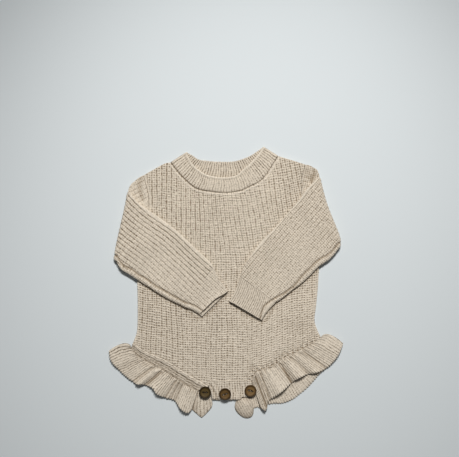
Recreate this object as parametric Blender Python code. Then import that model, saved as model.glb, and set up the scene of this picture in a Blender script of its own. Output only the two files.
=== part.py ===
"""Baby romper in chunky rib knit, laid flat on its back with both sleeves folded across the front.

Sizes are in millimetres in the garment's own frame: X to the right, Y towards the neck, Z up off the
surface that it lies on. GARMENT_MIDDLE, the middle of its outline, is moved to the world's origin.
Left and right are those of someone who looks down on it with the neck at the top.
"""

import math

import bmesh
import bpy
import numpy as np

MM = 0.001
GARMENT_MIDDLE = np.array([-1.4, 0.6, 0.0])

# Thickness of the knit, and the level of each layer's underside.
CLOTH = 2.4
GAP = 0.3
BACK_LEVEL = 0.0
FRONT_LEVEL = BACK_LEVEL + CLOTH + GAP
SLEEVE_LEVEL = FRONT_LEVEL + CLOTH + GAP
TUBE_DEPTH = 2 * CLOTH + GAP

# Body: the underarms, the hips and the points of each side seam between them.
UNDERARM_LEFT, UNDERARM_RIGHT = (-134.5, 34.0), (137.5, 43.6)
HIP_LEFT, HIP_RIGHT = (-140.7, -89.0), (139.0, -78.0)
SIDE_LEFT = [(-134.3, 4), (-133.6, -35), (-134.6, -70.5)]
SIDE_RIGHT = [(135.6, -70.5), (131.0, -55.5), (133.6, -33), (136.5, 0)]

# Neck: the seam where the band is sewn on, the front band's free edge and the back band's two edges.
NECK_SEAM = [(-84, 181), (-75, 168.8), (-62.9, 155.5), (-49.5, 144.2), (-35, 139), (-3, 135.5),
             (20.6, 138.8), (33.9, 144.9), (48.3, 152.1), (58.5, 162.3), (65.7, 173.6), (76.5, 190.5)]
NECK_FRONT_EDGE = [(-60.7, 196), (-55.7, 185.1), (-49.5, 176), (-38.3, 166.8), (-24.9, 160.7),
                   (-3, 158.3), (14, 161.4), (22, 168.5), (33.5, 178.7), (45.2, 191), (54.8, 204)]
NECK_BACK_EDGE = [(-60.7, 196), (-50.6, 190.4), (-42.3, 185.1), (-30, 183.2), (-13, 181.8),
                  (10.5, 182.4), (31.5, 189), (44, 196.5), (54.8, 204)]
NECK_BACK_SEAM = [(-84, 181), (-66, 171), (-44, 162.5), (-13, 159.5), (14, 160.5),
                  (40, 168), (60, 178), (76.5, 190.5)]

# Shoulders run from the band to the armhole, and armholes from the shoulder to the underarm.
SHOULDER_LEFT = [(-84, 181), (-93.5, 179), (-106.8, 171.9), (-125, 161.5)]
SHOULDER_RIGHT = [(76.5, 190.5), (88.2, 186.9), (104.6, 181.8), (117.5, 177.6)]
ARMHOLE_LEFT = [(-125, 161.5), (-120.1, 144.2), (-117, 129.9), (-116.5, 114.5), (-119, 85),
                (-126, 55), UNDERARM_LEFT]
ARMHOLE_RIGHT = [(117.5, 177.6), (112.5, 161.3), (111.5, 145), (112.5, 115), (117, 85),
                 (126, 60), UNDERARM_RIGHT]

# Leg openings: the ridge where the body ends, and the line on which each ruffle is gathered.
LEG_SEAM_LEFT = [HIP_LEFT, (-120.9, -101.6), (-89.7, -115.2), (-66.2, -130.2), (-41.3, -145.1),
                 (-27, -153.5)]
GATHER_LEFT = [(-143.3, -96.6), (-134.6, -107.7), (-110.9, -122.7), (-96, -130), (-78.6, -141.3),
               (-58.7, -153.8), (-43.8, -161.3)]
LEG_SEAM_RIGHT = [HIP_RIGHT, (124.5, -85.2), (101, -98), (79.3, -107.9), (63, -121), (42, -127.2),
                  (33, -137.5), (30, -146)]
GATHER_RIGHT = [(140.5, -83), (127.4, -90.5), (102.8, -103.4), (82, -113.6), (66.5, -126.5),
                (44.5, -132.4), (38.5, -141.5), (38, -149)]

# Free edges of the ruffles.
HEM_FRONT_LEFT = [(-176.6, -101), (-174.5, -113), (-168.2, -122.7), (-153.2, -137.6),
                  (-138.3, -148.8), (-126, -151.5), (-111.5, -156), (-104.5, -165), (-91.1, -171.8),
                  (-78.6, -175.5), (-69.5, -187), (-58.7, -193.8), (-53, -189)]
HEM_BACK_LEFT = [(-174, -101.5), (-172.5, -112), (-166.5, -121.5), (-152, -136), (-137, -147),
                 (-124, -146.5), (-108, -151), (-88, -165), (-70, -176), (-60, -182)]
HEM_FRONT_RIGHT = [(173.8, -90), (166.5, -107.1), (155.7, -121), (145.7, -128.5), (132.9, -133.4),
                   (116.6, -137.1), (103.5, -143.5), (86.6, -155.3), (75.6, -165.3), (62, -176),
                   (54, -188)]
HEM_BACK_RIGHT = [(170.8, -91.5), (163.5, -109), (152, -125), (140, -135), (123.8, -153.5),
                  (109.2, -166.2), (96.6, -175.2), (83, -180), (69.3, -180.5), (57, -183.5),
                  (52, -188.5), (45.6, -186), (41.3, -190)]

# Where each front ruffle's hem lifts, as (share of the way from the hip, height, width).
FOLDS_LEFT = [(0.10, 2.0, 0.10), (0.42, 5.5, 0.035), (0.60, 6.0, 0.07), (0.90, 5.0, 0.07)]
FOLDS_RIGHT = [(0.10, 2.5, 0.10), (0.36, 5.0, 0.07), (0.52, 6.5, 0.06), (0.72, 7.5, 0.09),
               (0.95, 5.0, 0.08)]
# Share of a ruffle's length over which its hip edge bows up.
HIP_BOW_REACH = 0.2

# Sleeves: the fold at the elbow side, and the two long edges from the fold to the cuff seam.
FOLD_LEFT = [(-144.4, 135.5), (-147.5, 117), (-154.3, 87), (-161, 57), (-165.2, 32)]
SLEEVE_TOP_LEFT = [(-144.4, 135.5), (-133.5, 121.7), (-117, 109.4), (-98.7, 97.1), (-81.3, 83.9),
                   (-65.9, 70.5), (-46.4, 52.1), (-25.8, 32.8), (-20, 25)]
SLEEVE_LOW_LEFT = [(-165.2, 32), (-157.5, 19.5), (-143.8, 11.5), (-119.6, -4.1), (-91.1, -21.9),
                   (-77.4, -28.8), (-64, -35.5)]
CUFF_END_LEFT = [(1.8, -11.5), (-37.5, -49.5)]
FOLD_RIGHT = [(134.8, 157), (138.2, 142), (143.5, 122.4), (149.6, 105), (156.7, 87.6), (163.9, 69),
              (166.9, 52)]
SLEEVE_TOP_RIGHT = [(134.8, 157), (118.9, 140.8), (105.6, 122.4), (88.2, 101.9), (69.8, 81.4),
                    (51.3, 63), (34.6, 41), (24, 24.5), (19.6, 10)]
SLEEVE_LOW_RIGHT = [(166.9, 52), (155.8, 38), (137, 24.5), (124.1, 11.6), (109.9, -1.4),
                    (97, -10.8), (84.1, -21.4), (73, -29)]
CUFF_END_RIGHT = [(2.9, -26.5), (51.7, -55.5)]

# Points along the seams, the same in the two pieces that meet there.
NECK_STEPS, LEG_STEPS = 20, 16

# Crotch band and buttons.
CROTCH_TOP, CROTCH_HEM = -146.0, -174.8
BUTTON_RADIUS, BUTTON_DEPTH = 9.0, 3.6
BUTTON_HOLE_RADIUS, BUTTON_HOLE_SPACING = 1.0, 4.6
BUTTONS = {"button_left": (-32.8, -162.6, -2), "button_middle": (-2.9, -165.3, 20),
           "button_right": (35.1, -160.3, -17)}

CREAM = (0.66, 0.58, 0.46)
BUTTON_BROWN = (0.12, 0.085, 0.045)


def smooth_line(points, per_span=5):
    """A smooth curve through the points, with per_span steps between each two."""
    p = np.array(points, float)
    p = np.vstack([2 * p[0] - p[1], p, 2 * p[-1] - p[-2]])
    t = np.linspace(0, 1, per_span, endpoint=False)[:, None]
    spans = []
    for a, b, c, d in zip(p, p[1:], p[2:], p[3:]):
        spans.append(0.5 * (2 * b + (c - a) * t + (2 * a - 5 * b + 4 * c - d) * t**2
                            + (3 * b - a - 3 * c + d) * t**3))
    return np.vstack(spans + [p[-2:-1]])


def even_points(line, count):
    """Points an even way apart along a line of straight runs."""
    run = np.concatenate([[0], np.cumsum(np.linalg.norm(np.diff(line, axis=0), axis=1))])
    at = np.linspace(0, run[-1], count)
    return np.stack([np.interp(at, run, line[:, k]) for k in range(line.shape[1])], axis=1)


def spaced_line(points, count):
    """The smooth curve through the points, as count points an even way apart."""
    return even_points(smooth_line(points), count)


def beside(line, distance):
    """The line moved sideways in plan, to the left of its own direction when distance is positive."""
    way = np.gradient(np.asarray(line, float), axis=0)
    way /= np.linalg.norm(way, axis=1, keepdims=True)
    return line + distance * np.stack([-way[:, 1], way[:, 0]], axis=1)


def material(name, colour, roughness):
    """The piece's own plain material."""
    made = bpy.data.materials.new(name)
    made.use_nodes = True
    shader = made.node_tree.nodes["Principled BSDF"]
    shader.inputs["Base Color"].default_value = (*colour, 1)
    shader.inputs["Roughness"].default_value = roughness
    shader.inputs["Metallic"].default_value = 0
    return made


def add_piece(name, points, faces, colour=CREAM, roughness=0.95):
    """A named object from points in millimetres, with its faces turned outwards."""
    mesh = bpy.data.meshes.new(name)
    mesh.from_pydata(((np.asarray(points) - GARMENT_MIDDLE) * MM).tolist(), [], faces)
    shape = bmesh.new()
    shape.from_mesh(mesh)
    bmesh.ops.recalc_face_normals(shape, faces=shape.faces)
    shape.to_mesh(mesh)
    shape.free()
    mesh.shade_smooth()
    mesh.set_sharp_from_angle(angle=math.radians(40))
    mesh.materials.append(material(name, colour, roughness))
    piece = bpy.data.objects.new(name, mesh)
    bpy.context.scene.collection.objects.link(piece)
    return piece


def soften_edges(piece, width=0.7):
    """Rounds the cut edges of a flat panel, as thick knit does by itself."""
    bevel = piece.modifiers.new("soft edge", "BEVEL")
    bevel.width = width * MM
    bevel.segments = 1
    bevel.limit_method = "ANGLE"
    bevel.angle_limit = math.radians(60)


def flat_panel(name, outline, level):
    """A panel of even thickness cut to an outline and lying at a level."""
    count = len(outline)
    low = np.column_stack([outline, np.full(count, level)])
    high = low + [0, 0, CLOTH]
    faces = [list(range(count)), list(range(count, 2 * count))]
    for i in range(count):
        j = (i + 1) % count
        faces.append([i, j, count + j, count + i])
    soften_edges(add_piece(name, np.vstack([low, high]), faces))


def shaped_cloth(name, under, over):
    """A panel between two grids of points, its underside and its upper side."""
    rows, columns = under.shape[:2]
    size = rows * columns

    def at(i, j):
        return i * columns + j

    faces = []
    for i in range(rows - 1):
        for j in range(columns - 1):
            cell = [at(i, j), at(i + 1, j), at(i + 1, j + 1), at(i, j + 1)]
            faces += [cell, [size + k for k in cell]]
    rim = [at(0, j) for j in range(columns)] + [at(i, columns - 1) for i in range(1, rows)]
    rim += [at(rows - 1, j) for j in range(columns - 2, -1, -1)] + [at(i, 0) for i in range(rows - 2, 0, -1)]
    for a, b in zip(rim, rim[1:] + rim[:1]):
        faces.append([a, b, size + b, size + a])
    return add_piece(name, np.vstack([under.reshape(-1, 3), over.reshape(-1, 3)]), faces)


def strip_between(first, second, across):
    """Rows of plan points from the first line to the second, at the given shares of the way across."""
    return np.array([first * (1 - v) + second * v for v in across])


def band(name, seam, edge, level, crown=0.0):
    """A neckband half, from its seam to its free edge, thickest along its middle."""
    across = [0, 0.12, 0.5, 0.88, 1]
    rise = [-0.7, 0, crown, 0, -0.7]
    plan = strip_between(seam, spaced_line(edge, len(seam)), across)
    under = np.concatenate([plan, np.full((*plan.shape[:2], 1), level)], axis=2)
    over = under + [0, 0, CLOTH]
    over[:, :, 2] += np.array(rise)[:, None]
    shaped_cloth(name, under, over)


def body_outline(neck, leg_left, leg_right, crotch):
    """The outline of the front or back, anticlockwise from the crotch's left end."""
    half_gap = GAP / 2
    sides = [
        crotch,
        leg_right[::-1],
        np.array(SIDE_RIGHT),
        beside(spaced_line(ARMHOLE_RIGHT, 9), -half_gap)[::-1],
        spaced_line(SHOULDER_RIGHT, 4)[::-1],
        beside(spaced_line(neck, NECK_STEPS), -half_gap)[::-1],
        spaced_line(SHOULDER_LEFT, 4),
        beside(spaced_line(ARMHOLE_LEFT, 9), half_gap),
        np.array(SIDE_LEFT),
        leg_left,
    ]
    outline = [sides[0][0]]
    for side in sides:
        for point in side:
            if np.linalg.norm(point - outline[-1]) > 1.5:
                outline.append(point)
    return np.array(outline)


def add_body():
    """Back and front, one on the other and sewn at shoulders and sides."""
    crotch_back = np.array([(-27, CROTCH_TOP - GAP), (30, CROTCH_TOP - GAP)])
    crotch_front = np.array([(-27, -153.2), (-25, CROTCH_TOP), (27, CROTCH_TOP)])
    front_left = beside(spaced_line(LEG_SEAM_LEFT, LEG_STEPS), GAP)
    front_right = beside(spaced_line(LEG_SEAM_RIGHT, LEG_STEPS), -GAP)
    back_left = beside(spaced_line(GATHER_LEFT + [(-34, -158)], LEG_STEPS), 1.0)
    back_right = beside(spaced_line(GATHER_RIGHT, LEG_STEPS), -1.0)
    flat_panel("front_panel", body_outline(NECK_SEAM, front_left, front_right, crotch_front), FRONT_LEVEL)
    flat_panel("back_panel", body_outline(NECK_BACK_SEAM, back_left, back_right, crotch_back), BACK_LEVEL)


def add_neckbands():
    """The ribbed band, whose back half lies under its front half and shows inside the neck."""
    apart = GAP / 2
    seam = beside(spaced_line(NECK_SEAM, NECK_STEPS), apart)
    band("neckband_front", seam, NECK_FRONT_EDGE, FRONT_LEVEL, crown=0.5)
    seam = beside(spaced_line(NECK_BACK_SEAM, NECK_STEPS), apart)
    band("neckband_back", seam, NECK_BACK_EDGE, BACK_LEVEL)


def tube_ring(width, groove_at, groove_depth):
    """The section of a flattened knit tube, as (across, above) pairs: its outer skin, then its inner one.

    It runs from the top edge over the visible face to the low edge and back. groove_at is how far in from
    the low edge the seam's groove runs along the visible face.
    """
    half, slit = TUBE_DEPTH / 2, GAP / 2
    turn = np.radians([-50, 0, 50])
    start = half
    outer = [(half * (1 - math.cos(a)), half * math.sin(a)) for a in turn]
    inner = [(CLOTH + slit * (1 - math.cos(a)), slit * math.sin(a)) for a in turn]
    face_end = width - groove_at - 2.5
    for share in np.linspace(0, 1, 5):
        outer.append((start + (face_end - start) * share, half))
        inner.append((CLOTH + slit * 2 + (face_end - start) * share, slit))
    for inward, drop in ((groove_at, groove_depth), (groove_at - 2.2, 0.35 * groove_depth)):
        outer.append((width - inward, half - drop))
        inner.append((width - inward - 0.5, slit))
    outer += [(width - half * (1 - math.cos(a)), half * math.sin(a)) for a in turn[::-1]]
    inner += [(width - CLOTH - slit * (1 - math.cos(a)), slit * math.sin(a)) for a in turn[::-1]]
    for share in np.linspace(1, 0, 6):
        outer.append((start + (width - 2 * start) * share, -half))
        inner.append((CLOTH + 2 * slit + (width - 2 * CLOTH - 4 * slit) * share, -slit))
    return outer, inner


def flat_tube(name, stations):
    """An open knit tube pressed flat. Each station is (top edge to low edge line, visible normal, groove).

    The line is a plan curve at the height of the tube's middle, as a function of the way along it.
    """
    rings = []
    for line, normal, groove_at, groove_depth in stations:
        run = np.concatenate([[0], np.cumsum(np.linalg.norm(np.diff(line, axis=0), axis=1))])
        outer, inner = tube_ring(run[-1], groove_at, groove_depth)
        ring = []
        for across, above in outer + inner:
            at = [np.interp(across, run, line[:, k]) for k in range(3)]
            ring.append(np.array(at) + above * np.asarray(normal))
        rings.append(ring)
    count = len(rings[0]) // 2
    points = np.array(rings).reshape(-1, 3)

    def at(station, skin, i):
        return station * 2 * count + skin * count + i % count

    faces = []
    last = len(rings) - 1
    for i in range(count):
        for s in range(last):
            faces.append([at(s, 0, i), at(s, 0, i + 1), at(s + 1, 0, i + 1), at(s + 1, 0, i)])
            faces.append([at(s, 1, i), at(s + 1, 1, i), at(s + 1, 1, i + 1), at(s, 1, i + 1)])
        for s in (0, last):
            faces.append([at(s, 0, i), at(s, 1, i), at(s, 1, i + 1), at(s, 0, i + 1)])
    return add_piece(name, points, faces)


def lifted(plan, height):
    """Plan points with a height added."""
    return np.column_stack([plan, np.full(len(plan), height)])


def sleeve(name, armhole, fold, top_edge, low_edge, shoulder_fullness, groove_at, outward):
    """A sleeve that leaves the armhole, turns over at its fold and lies back across the front.

    shoulder_fullness is how far its head stands out past a straight line from the armhole to the fold.
    """
    centre = TUBE_DEPTH / 2
    radius = centre + GAP / 2
    axis_height = TUBE_DEPTH + GAP / 2
    across = 9
    begin = beside(spaced_line(armhole, across), outward * GAP / 2)
    axis = spaced_line(fold, across)
    head = begin[0] - axis[0]
    head_out = outward * np.array([head[1], -head[0]]) / np.linalg.norm(head)
    near_top = np.linspace(1, 0, across)[:, None] ** 3
    stations = []
    for share in (0, 0.33, 0.67):
        fullness = shoulder_fullness * 4 * share * (1 - share) * near_top * head_out
        line = lifted(begin * (1 - share) + axis * share + fullness, centre)
        stations.append((line, (0, 0, -1), groove_at, 0.0))
    way = axis[-1] - axis[0]
    out = outward * np.array([-way[1], way[0]]) / np.linalg.norm(way)
    for turn in np.radians([0, 36, 72, 108, 144, 180]):
        normal = np.array([*(out * math.sin(turn)), -math.cos(turn)])
        line = lifted(axis, axis_height) + radius * normal
        stations.append((line, normal, groove_at, 1.2 * turn / math.pi))
    steps = 6
    top, low = spaced_line(top_edge, steps + 1), spaced_line(low_edge, steps + 1)
    for k in range(1, steps + 1):
        share = np.linspace(0, 1, across)[:, None]
        bow = (1 - k / steps) ** 2 * (axis - (axis[0] * (1 - share) + axis[-1] * share))
        line = lifted(top[k] * (1 - share) + low[k] * share + bow, SLEEVE_LEVEL + centre)
        stations.append((line, (0, 0, 1), groove_at, 1.2))
    flat_tube(name, stations)
    return top[-1], low[-1]


def cuff(name, seam_top, seam_low, cuff_end, groove_at):
    """A ribbed cuff: a short flat tube whose under layer shows past its upper one at the end."""
    end_top, end_low = np.array(cuff_end, float)
    height = SLEEVE_LEVEL + TUBE_DEPTH / 2
    stations = []
    axis = (end_top + end_low - seam_top - seam_low) / 2
    start = GAP * axis / np.linalg.norm(axis)
    for share in (0, 0.35, 0.7, 1):
        top = (seam_top + start) * (1 - share) + end_top * share
        low = (seam_low + start) * (1 - share) + end_low * share
        waist = 1.5 * math.sin(math.pi * share) * (low - top) / np.linalg.norm(low - top)
        line = lifted(np.linspace(top + waist, low - waist, 9), height)
        stations.append((line, (0, 0, 1), groove_at, 1.2))
    flat_tube(name, stations)


def add_sleeves():
    """Both sleeves with their cuffs."""
    for side, outward, armhole, fold, top_edge, low_edge, cuff_end, fullness, groove_at in (
            ("left", -1, ARMHOLE_LEFT, FOLD_LEFT, SLEEVE_TOP_LEFT, SLEEVE_LOW_LEFT, CUFF_END_LEFT,
             5.0, 8.5),
            ("right", 1, ARMHOLE_RIGHT, FOLD_RIGHT, SLEEVE_TOP_RIGHT, SLEEVE_LOW_RIGHT, CUFF_END_RIGHT,
             6.5, 5.5)):
        seam_top, seam_low = sleeve("sleeve_" + side, armhole, fold, top_edge, low_edge, fullness,
                                    groove_at, outward)
        cuff("cuff_" + side, seam_top, seam_low, cuff_end, groove_at)


def waves(share, folds):
    """Height of a ruffle's free edge at a share of the way along it, from its folds.

    Each fold is (place, height, width), and its sides fall off smoothly.
    """
    rise = np.zeros_like(share)
    for place, height, width in folds:
        rise += height * np.exp(-(((share - place) / width) ** 2))
    return rise


def ruffle(name, gather, hem, level, folds, columns, hip_bow):
    """Half of a gathered frill, from the gathers to its hem, which rises and falls in folds.

    hip_bow is how far its edge at the hip bows up past a straight line from gathers to hem.
    """
    across = [0, 0.15, 0.45, 0.75, 1]
    share = np.linspace(0, 1, columns)
    plan = strip_between(even_points(gather, columns), spaced_line(hem, columns), across)
    near_hip = np.clip(1 - share / HIP_BOW_REACH, 0, 1) ** 1.5
    for row, v in zip(plan, across):
        row[:, 1] += hip_bow * 2.6 * math.sqrt(v) * (1 - v) * near_hip
    rise = np.array([v**1.3 * waves(share, folds) for v in across])
    under = np.concatenate([plan, (level + rise)[:, :, None]], axis=2)
    over = under + [0, 0, CLOTH]
    over[0, :, 2] -= 0.8
    over[-1, :, 2] -= 0.5
    shaped_cloth(name, under, over)


def add_ruffles():
    """The frill round each leg opening, its front half over its back half."""
    left, right = spaced_line(GATHER_LEFT, LEG_STEPS), spaced_line(GATHER_RIGHT, LEG_STEPS)
    back_left = spaced_line(GATHER_LEFT[:-1], LEG_STEPS)
    ruffle("ruffle_front_left", beside(left, -GAP), HEM_FRONT_LEFT, FRONT_LEVEL, FOLDS_LEFT, 40, 8.0)
    ruffle("ruffle_front_right", beside(right, GAP), HEM_FRONT_RIGHT, FRONT_LEVEL, FOLDS_RIGHT, 40, 9.0)
    ruffle("ruffle_back_left", beside(back_left, -1.0), HEM_BACK_LEFT, BACK_LEVEL, [], 16, 7.0)
    ruffle("ruffle_back_right", beside(right, 1.0), HEM_BACK_RIGHT, BACK_LEVEL, [], 20, 8.0)


def add_leg_bands():
    """The narrow band between the body and the gathers, wide and flat on the left, a ridge on the right."""
    for side, seam, gather, turn in (("left", LEG_SEAM_LEFT, GATHER_LEFT, 1),
                                     ("right", LEG_SEAM_RIGHT, GATHER_RIGHT, -1)):
        upper = beside(spaced_line(seam, LEG_STEPS), -turn * GAP)
        lower = beside(spaced_line(gather, LEG_STEPS), turn * GAP)
        plan = strip_between(upper, lower, [0, 0.15, 0.4, 0.8, 1])
        under = np.concatenate([plan, np.full((*plan.shape[:2], 1), FRONT_LEVEL)], axis=2)
        over = under + [0, 0, CLOTH]
        over[:, :, 2] += np.array([-0.7, 0.6, 0.2, -0.4, -0.9])[:, None]
        shaped_cloth("leg_band_" + side, under, over)


def add_crotch():
    """The ribbed band that closes under the crotch, its front half buttoned over its back half."""
    front = [(-26.7, CROTCH_TOP - 7.7), (-21.8, CROTCH_HEM + 1), (-13, CROTCH_HEM - 0.6),
             (-4, CROTCH_HEM + 0.4), (6, CROTCH_HEM), (15, CROTCH_HEM + 0.6), (22, -169.5),
             (37.4, -169.5), (37.4, -149), (29.5, CROTCH_TOP - GAP), (-24.6, CROTCH_TOP - GAP)]
    flat_panel("crotch_band_front", np.array(front, float), FRONT_LEVEL)
    back = [(-22.5, CROTCH_TOP - 2 * GAP - 1), (-20, CROTCH_HEM + 3), (9, CROTCH_HEM + 3),
            (19, CROTCH_TOP - 12), (27, CROTCH_TOP - 2 * GAP - 1)]
    flat_panel("crotch_band_back", np.array(back, float), BACK_LEVEL)


def add_tabs():
    """The ends of the back frill halves, which show beside the outer buttons."""
    tab = [(-42.4, -168), (-52, -189.5), (-46, -195.5), (-39.2, -201.2), (-34.8, -199.4),
           (-24.2, -188.3), (-21.2, -181.2), (-23, -176), (-26.2, -158)]
    flat_panel("ruffle_tab_left", np.array(tab, float), BACK_LEVEL)
    rim = [(23.5, -170.6), (12.5, -178), (11.3, -186.3), (14.6, -193.5), (21.8, -200.3), (29, -202.9),
           (36.3, -201.3), (39.7, -195.6), (40.2, -188.4), (37.5, -171.5)]
    count = 24
    edge = spaced_line(rim + rim[:1], count + 1)[:-1]
    middle = np.array([27.0, -186.5])
    plan = strip_between(edge, np.tile(middle, (count, 1)), [0, 0.06, 0.3, 0.62])
    height = CLOTH + np.array([0, 1.4, 3.6, 4.6])
    points = [lifted(edge, BACK_LEVEL)]
    points += [lifted(ring, h) for ring, h in zip(plan, height)]
    points.append([[*middle, height[-1] + 0.4]])
    faces = [list(range(count))]
    rings = len(height)
    for i in range(count):
        j = (i + 1) % count
        for low in range(0, rings * count, count):
            faces.append([low + i, low + j, low + count + j, low + count + i])
        faces.append([rings * count + i, rings * count + j, (rings + 1) * count])
    add_piece("ruffle_puff_right", np.vstack(points), faces)


def button(name, x, y, turn):
    """A turned wooden button: a raised rim round a dished face with two holes."""
    profile = [(5.6, 2.1), (7.0, 3.0), (7.9, BUTTON_DEPTH), (8.6, 3.3), (BUTTON_RADIUS, 2.2),
               (8.6, 0.8), (7.0, 0)]
    steps = 20
    points, faces = [], []
    for r, z in profile:
        for k in range(steps):
            angle = 2 * math.pi * k / steps
            points.append((r * math.cos(angle), r * math.sin(angle), z))
    rings = len(profile)
    for ring in range(rings - 1):
        for k in range(steps):
            j = (k + 1) % steps
            faces.append([ring * steps + k, ring * steps + j, (ring + 1) * steps + j,
                          (ring + 1) * steps + k])
    faces.append(list(range(steps)))
    faces.append([(rings - 1) * steps + k for k in range(steps)])
    place = np.array([x, y, SLEEVE_LEVEL + GAP])
    piece = add_piece(name, np.array(points) + place, faces, BUTTON_BROWN, 0.55)
    holes = bmesh.new()
    for side in (-1, 1):
        angle = math.radians(turn)
        reach = side * BUTTON_HOLE_SPACING / 2
        centre = place + [reach * math.cos(angle), reach * math.sin(angle), 1.0] - GARMENT_MIDDLE
        made = bmesh.ops.create_cone(holes, cap_ends=True, segments=12, depth=8 * MM,
                                     radius1=BUTTON_HOLE_RADIUS * MM, radius2=BUTTON_HOLE_RADIUS * MM)
        bmesh.ops.translate(holes, verts=made["verts"], vec=centre * MM)
    mesh = bpy.data.meshes.new(name + "_drill")
    holes.to_mesh(mesh)
    holes.free()
    drill = bpy.data.objects.new(name + "_drill", mesh)
    bpy.context.scene.collection.objects.link(drill)
    drill.hide_render = True
    drill.display_type = "WIRE"
    cut = piece.modifiers.new("thread holes", "BOOLEAN")
    cut.operation = "DIFFERENCE"
    cut.object = drill


for old in list(bpy.data.objects):
    bpy.data.objects.remove(old, do_unlink=True)
add_body()
add_neckbands()
add_sleeves()
add_leg_bands()
add_ruffles()
add_crotch()
add_tabs()
for button_name, (button_x, button_y, button_turn) in BUTTONS.items():
    button(button_name, button_x, button_y, button_turn)
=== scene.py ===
import math

import bpy
import numpy as np
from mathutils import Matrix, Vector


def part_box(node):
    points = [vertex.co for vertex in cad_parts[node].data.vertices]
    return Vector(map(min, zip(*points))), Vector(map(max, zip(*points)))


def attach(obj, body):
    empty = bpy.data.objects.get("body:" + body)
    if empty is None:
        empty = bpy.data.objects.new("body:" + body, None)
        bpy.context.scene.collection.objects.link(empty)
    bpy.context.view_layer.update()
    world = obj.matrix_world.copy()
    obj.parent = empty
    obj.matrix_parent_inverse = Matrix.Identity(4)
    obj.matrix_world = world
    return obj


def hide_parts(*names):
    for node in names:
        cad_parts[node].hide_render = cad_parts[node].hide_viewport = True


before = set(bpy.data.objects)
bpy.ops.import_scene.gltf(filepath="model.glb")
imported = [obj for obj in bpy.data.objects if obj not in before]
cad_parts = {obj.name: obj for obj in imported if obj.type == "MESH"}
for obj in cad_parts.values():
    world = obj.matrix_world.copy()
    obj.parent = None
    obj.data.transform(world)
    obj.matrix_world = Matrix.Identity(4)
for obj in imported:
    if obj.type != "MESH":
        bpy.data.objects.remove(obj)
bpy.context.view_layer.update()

bpy.ops.object.select_all(action="DESELECT")

# --------------------
# Back panel. Cotton yarn, knitted as a half-cardigan rib whose wales run from neck to crotch and whose
# rows make a waffle. It lies on the table under all the rest, so that only its side edges show.
# --------------------
MM = 0.001
CLOTH = 2.4
GAP = 0.3
FRONT_LEVEL = CLOTH + GAP
SLEEVE_LEVEL = 2 * FRONT_LEVEL
TUBE_DEPTH = 2 * CLOTH + GAP

# The middle button's centre, by which the garment's own frame is placed.
MIDDLE_BUTTON = np.array([-2.9, -165.3])
low_corner, high_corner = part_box("button_middle")
GARMENT_PLACE = np.array([(low_corner.x + high_corner.x) / 2 / MM - MIDDLE_BUTTON[0],
                          (low_corner.y + high_corner.y) / 2 / MM - MIDDLE_BUTTON[1], 0.0])

# LIGHT_YARN is the yarn's own colour; SHADOW_YARN is painted shade, the colour that hollows, creases and
# shaded places are painted towards.
LIGHT_YARN = (0.735, 0.650, 0.535)
SHADOW_YARN = (0.225, 0.160, 0.095)

UNDERARM_LEFT, UNDERARM_RIGHT = (-134.5, 34.0), (137.5, 43.6)
HIP_LEFT, HIP_RIGHT = (-140.7, -89.0), (139.0, -78.0)
SIDE_LEFT = [HIP_LEFT, (-134.6, -70.5), (-133.6, -35), (-134.3, 4)]
SIDE_RIGHT = [HIP_RIGHT, (135.6, -70.5), (131.0, -55.5), (133.6, -33), (136.5, 0)]
ARMHOLE_LEFT = [(-125, 161.5), (-120.1, 144.2), (-117, 129.9), (-116.5, 114.5), (-119, 85),
                (-126, 55), UNDERARM_LEFT]
ARMHOLE_RIGHT = [(117.5, 177.6), (112.5, 161.3), (111.5, 145), (112.5, 115), (117, 85),
                 (126, 60), UNDERARM_RIGHT]
SHOULDER_LEFT = [(-125, 161.5), (-106.8, 171.9), (-93.5, 179), (-84, 181)]
SHOULDER_RIGHT = [(76.5, 190.5), (88.2, 186.9), (104.6, 181.8), (117.5, 177.6)]
NECK_SEAM = [(-84, 181), (-75, 168.8), (-62.9, 155.5), (-49.5, 144.2), (-35, 139), (-3, 135.5),
             (20.6, 138.8), (33.9, 144.9), (48.3, 152.1), (58.5, 162.3), (65.7, 173.6), (76.5, 190.5)]
NECK_BACK_SEAM = [(-84, 181), (-66, 169), (-44, 159), (-13, 154.5), (14, 156), (40, 165), (60, 176.5),
                  (76.5, 190.5)]
CROTCH_TOP, CROTCH_HEM = -146.0, -174.8
GATHER_LEFT = [(-143.3, -96.6), (-134.6, -107.7), (-110.9, -122.7), (-96, -130), (-78.6, -141.3),
               (-58.7, -153.8), (-43.8, -161.3)]
GATHER_RIGHT = [(140.5, -83), (127.4, -90.5), (102.8, -103.4), (82, -113.6), (66.5, -126.5),
                (44.5, -132.4), (38.5, -141.5), (38, -149)]


def smooth_line(points, per_span=5):
    """A smooth curve through the points, with per_span steps between each two."""
    p = np.array(points, float)
    p = np.vstack([2 * p[0] - p[1], p, 2 * p[-1] - p[-2]])
    t = np.linspace(0, 1, per_span, endpoint=False)[:, None]
    spans = []
    for a, b, c, d in zip(p, p[1:], p[2:], p[3:]):
        spans.append(0.5 * (2 * b + (c - a) * t + (2 * a - 5 * b + 4 * c - d) * t**2
                            + (3 * b - a - 3 * c + d) * t**3))
    return np.vstack(spans + [p[-2:-1]])


def run_along(line):
    """How far along a line of straight runs each of its points is."""
    return np.concatenate([[0], np.cumsum(np.linalg.norm(np.diff(line, axis=0), axis=1))])


def even_points(line, count):
    """Points an even way apart along a line of straight runs."""
    run = run_along(line)
    at = np.linspace(0, run[-1], count)
    return np.stack([np.interp(at, run, line[:, k]) for k in range(line.shape[1])], axis=1)


def spaced_line(points, count):
    """The smooth curve through the points, as count points an even way apart."""
    return even_points(smooth_line(points, 12), count)


def beside(line, distance):
    """The line moved sideways in plan, to the left of its own direction when distance is positive."""
    way = np.gradient(np.asarray(line, float), axis=0)
    way /= np.linalg.norm(way, axis=1, keepdims=True)
    return line + distance * np.stack([-way[:, 1], way[:, 0]], axis=1)


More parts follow.
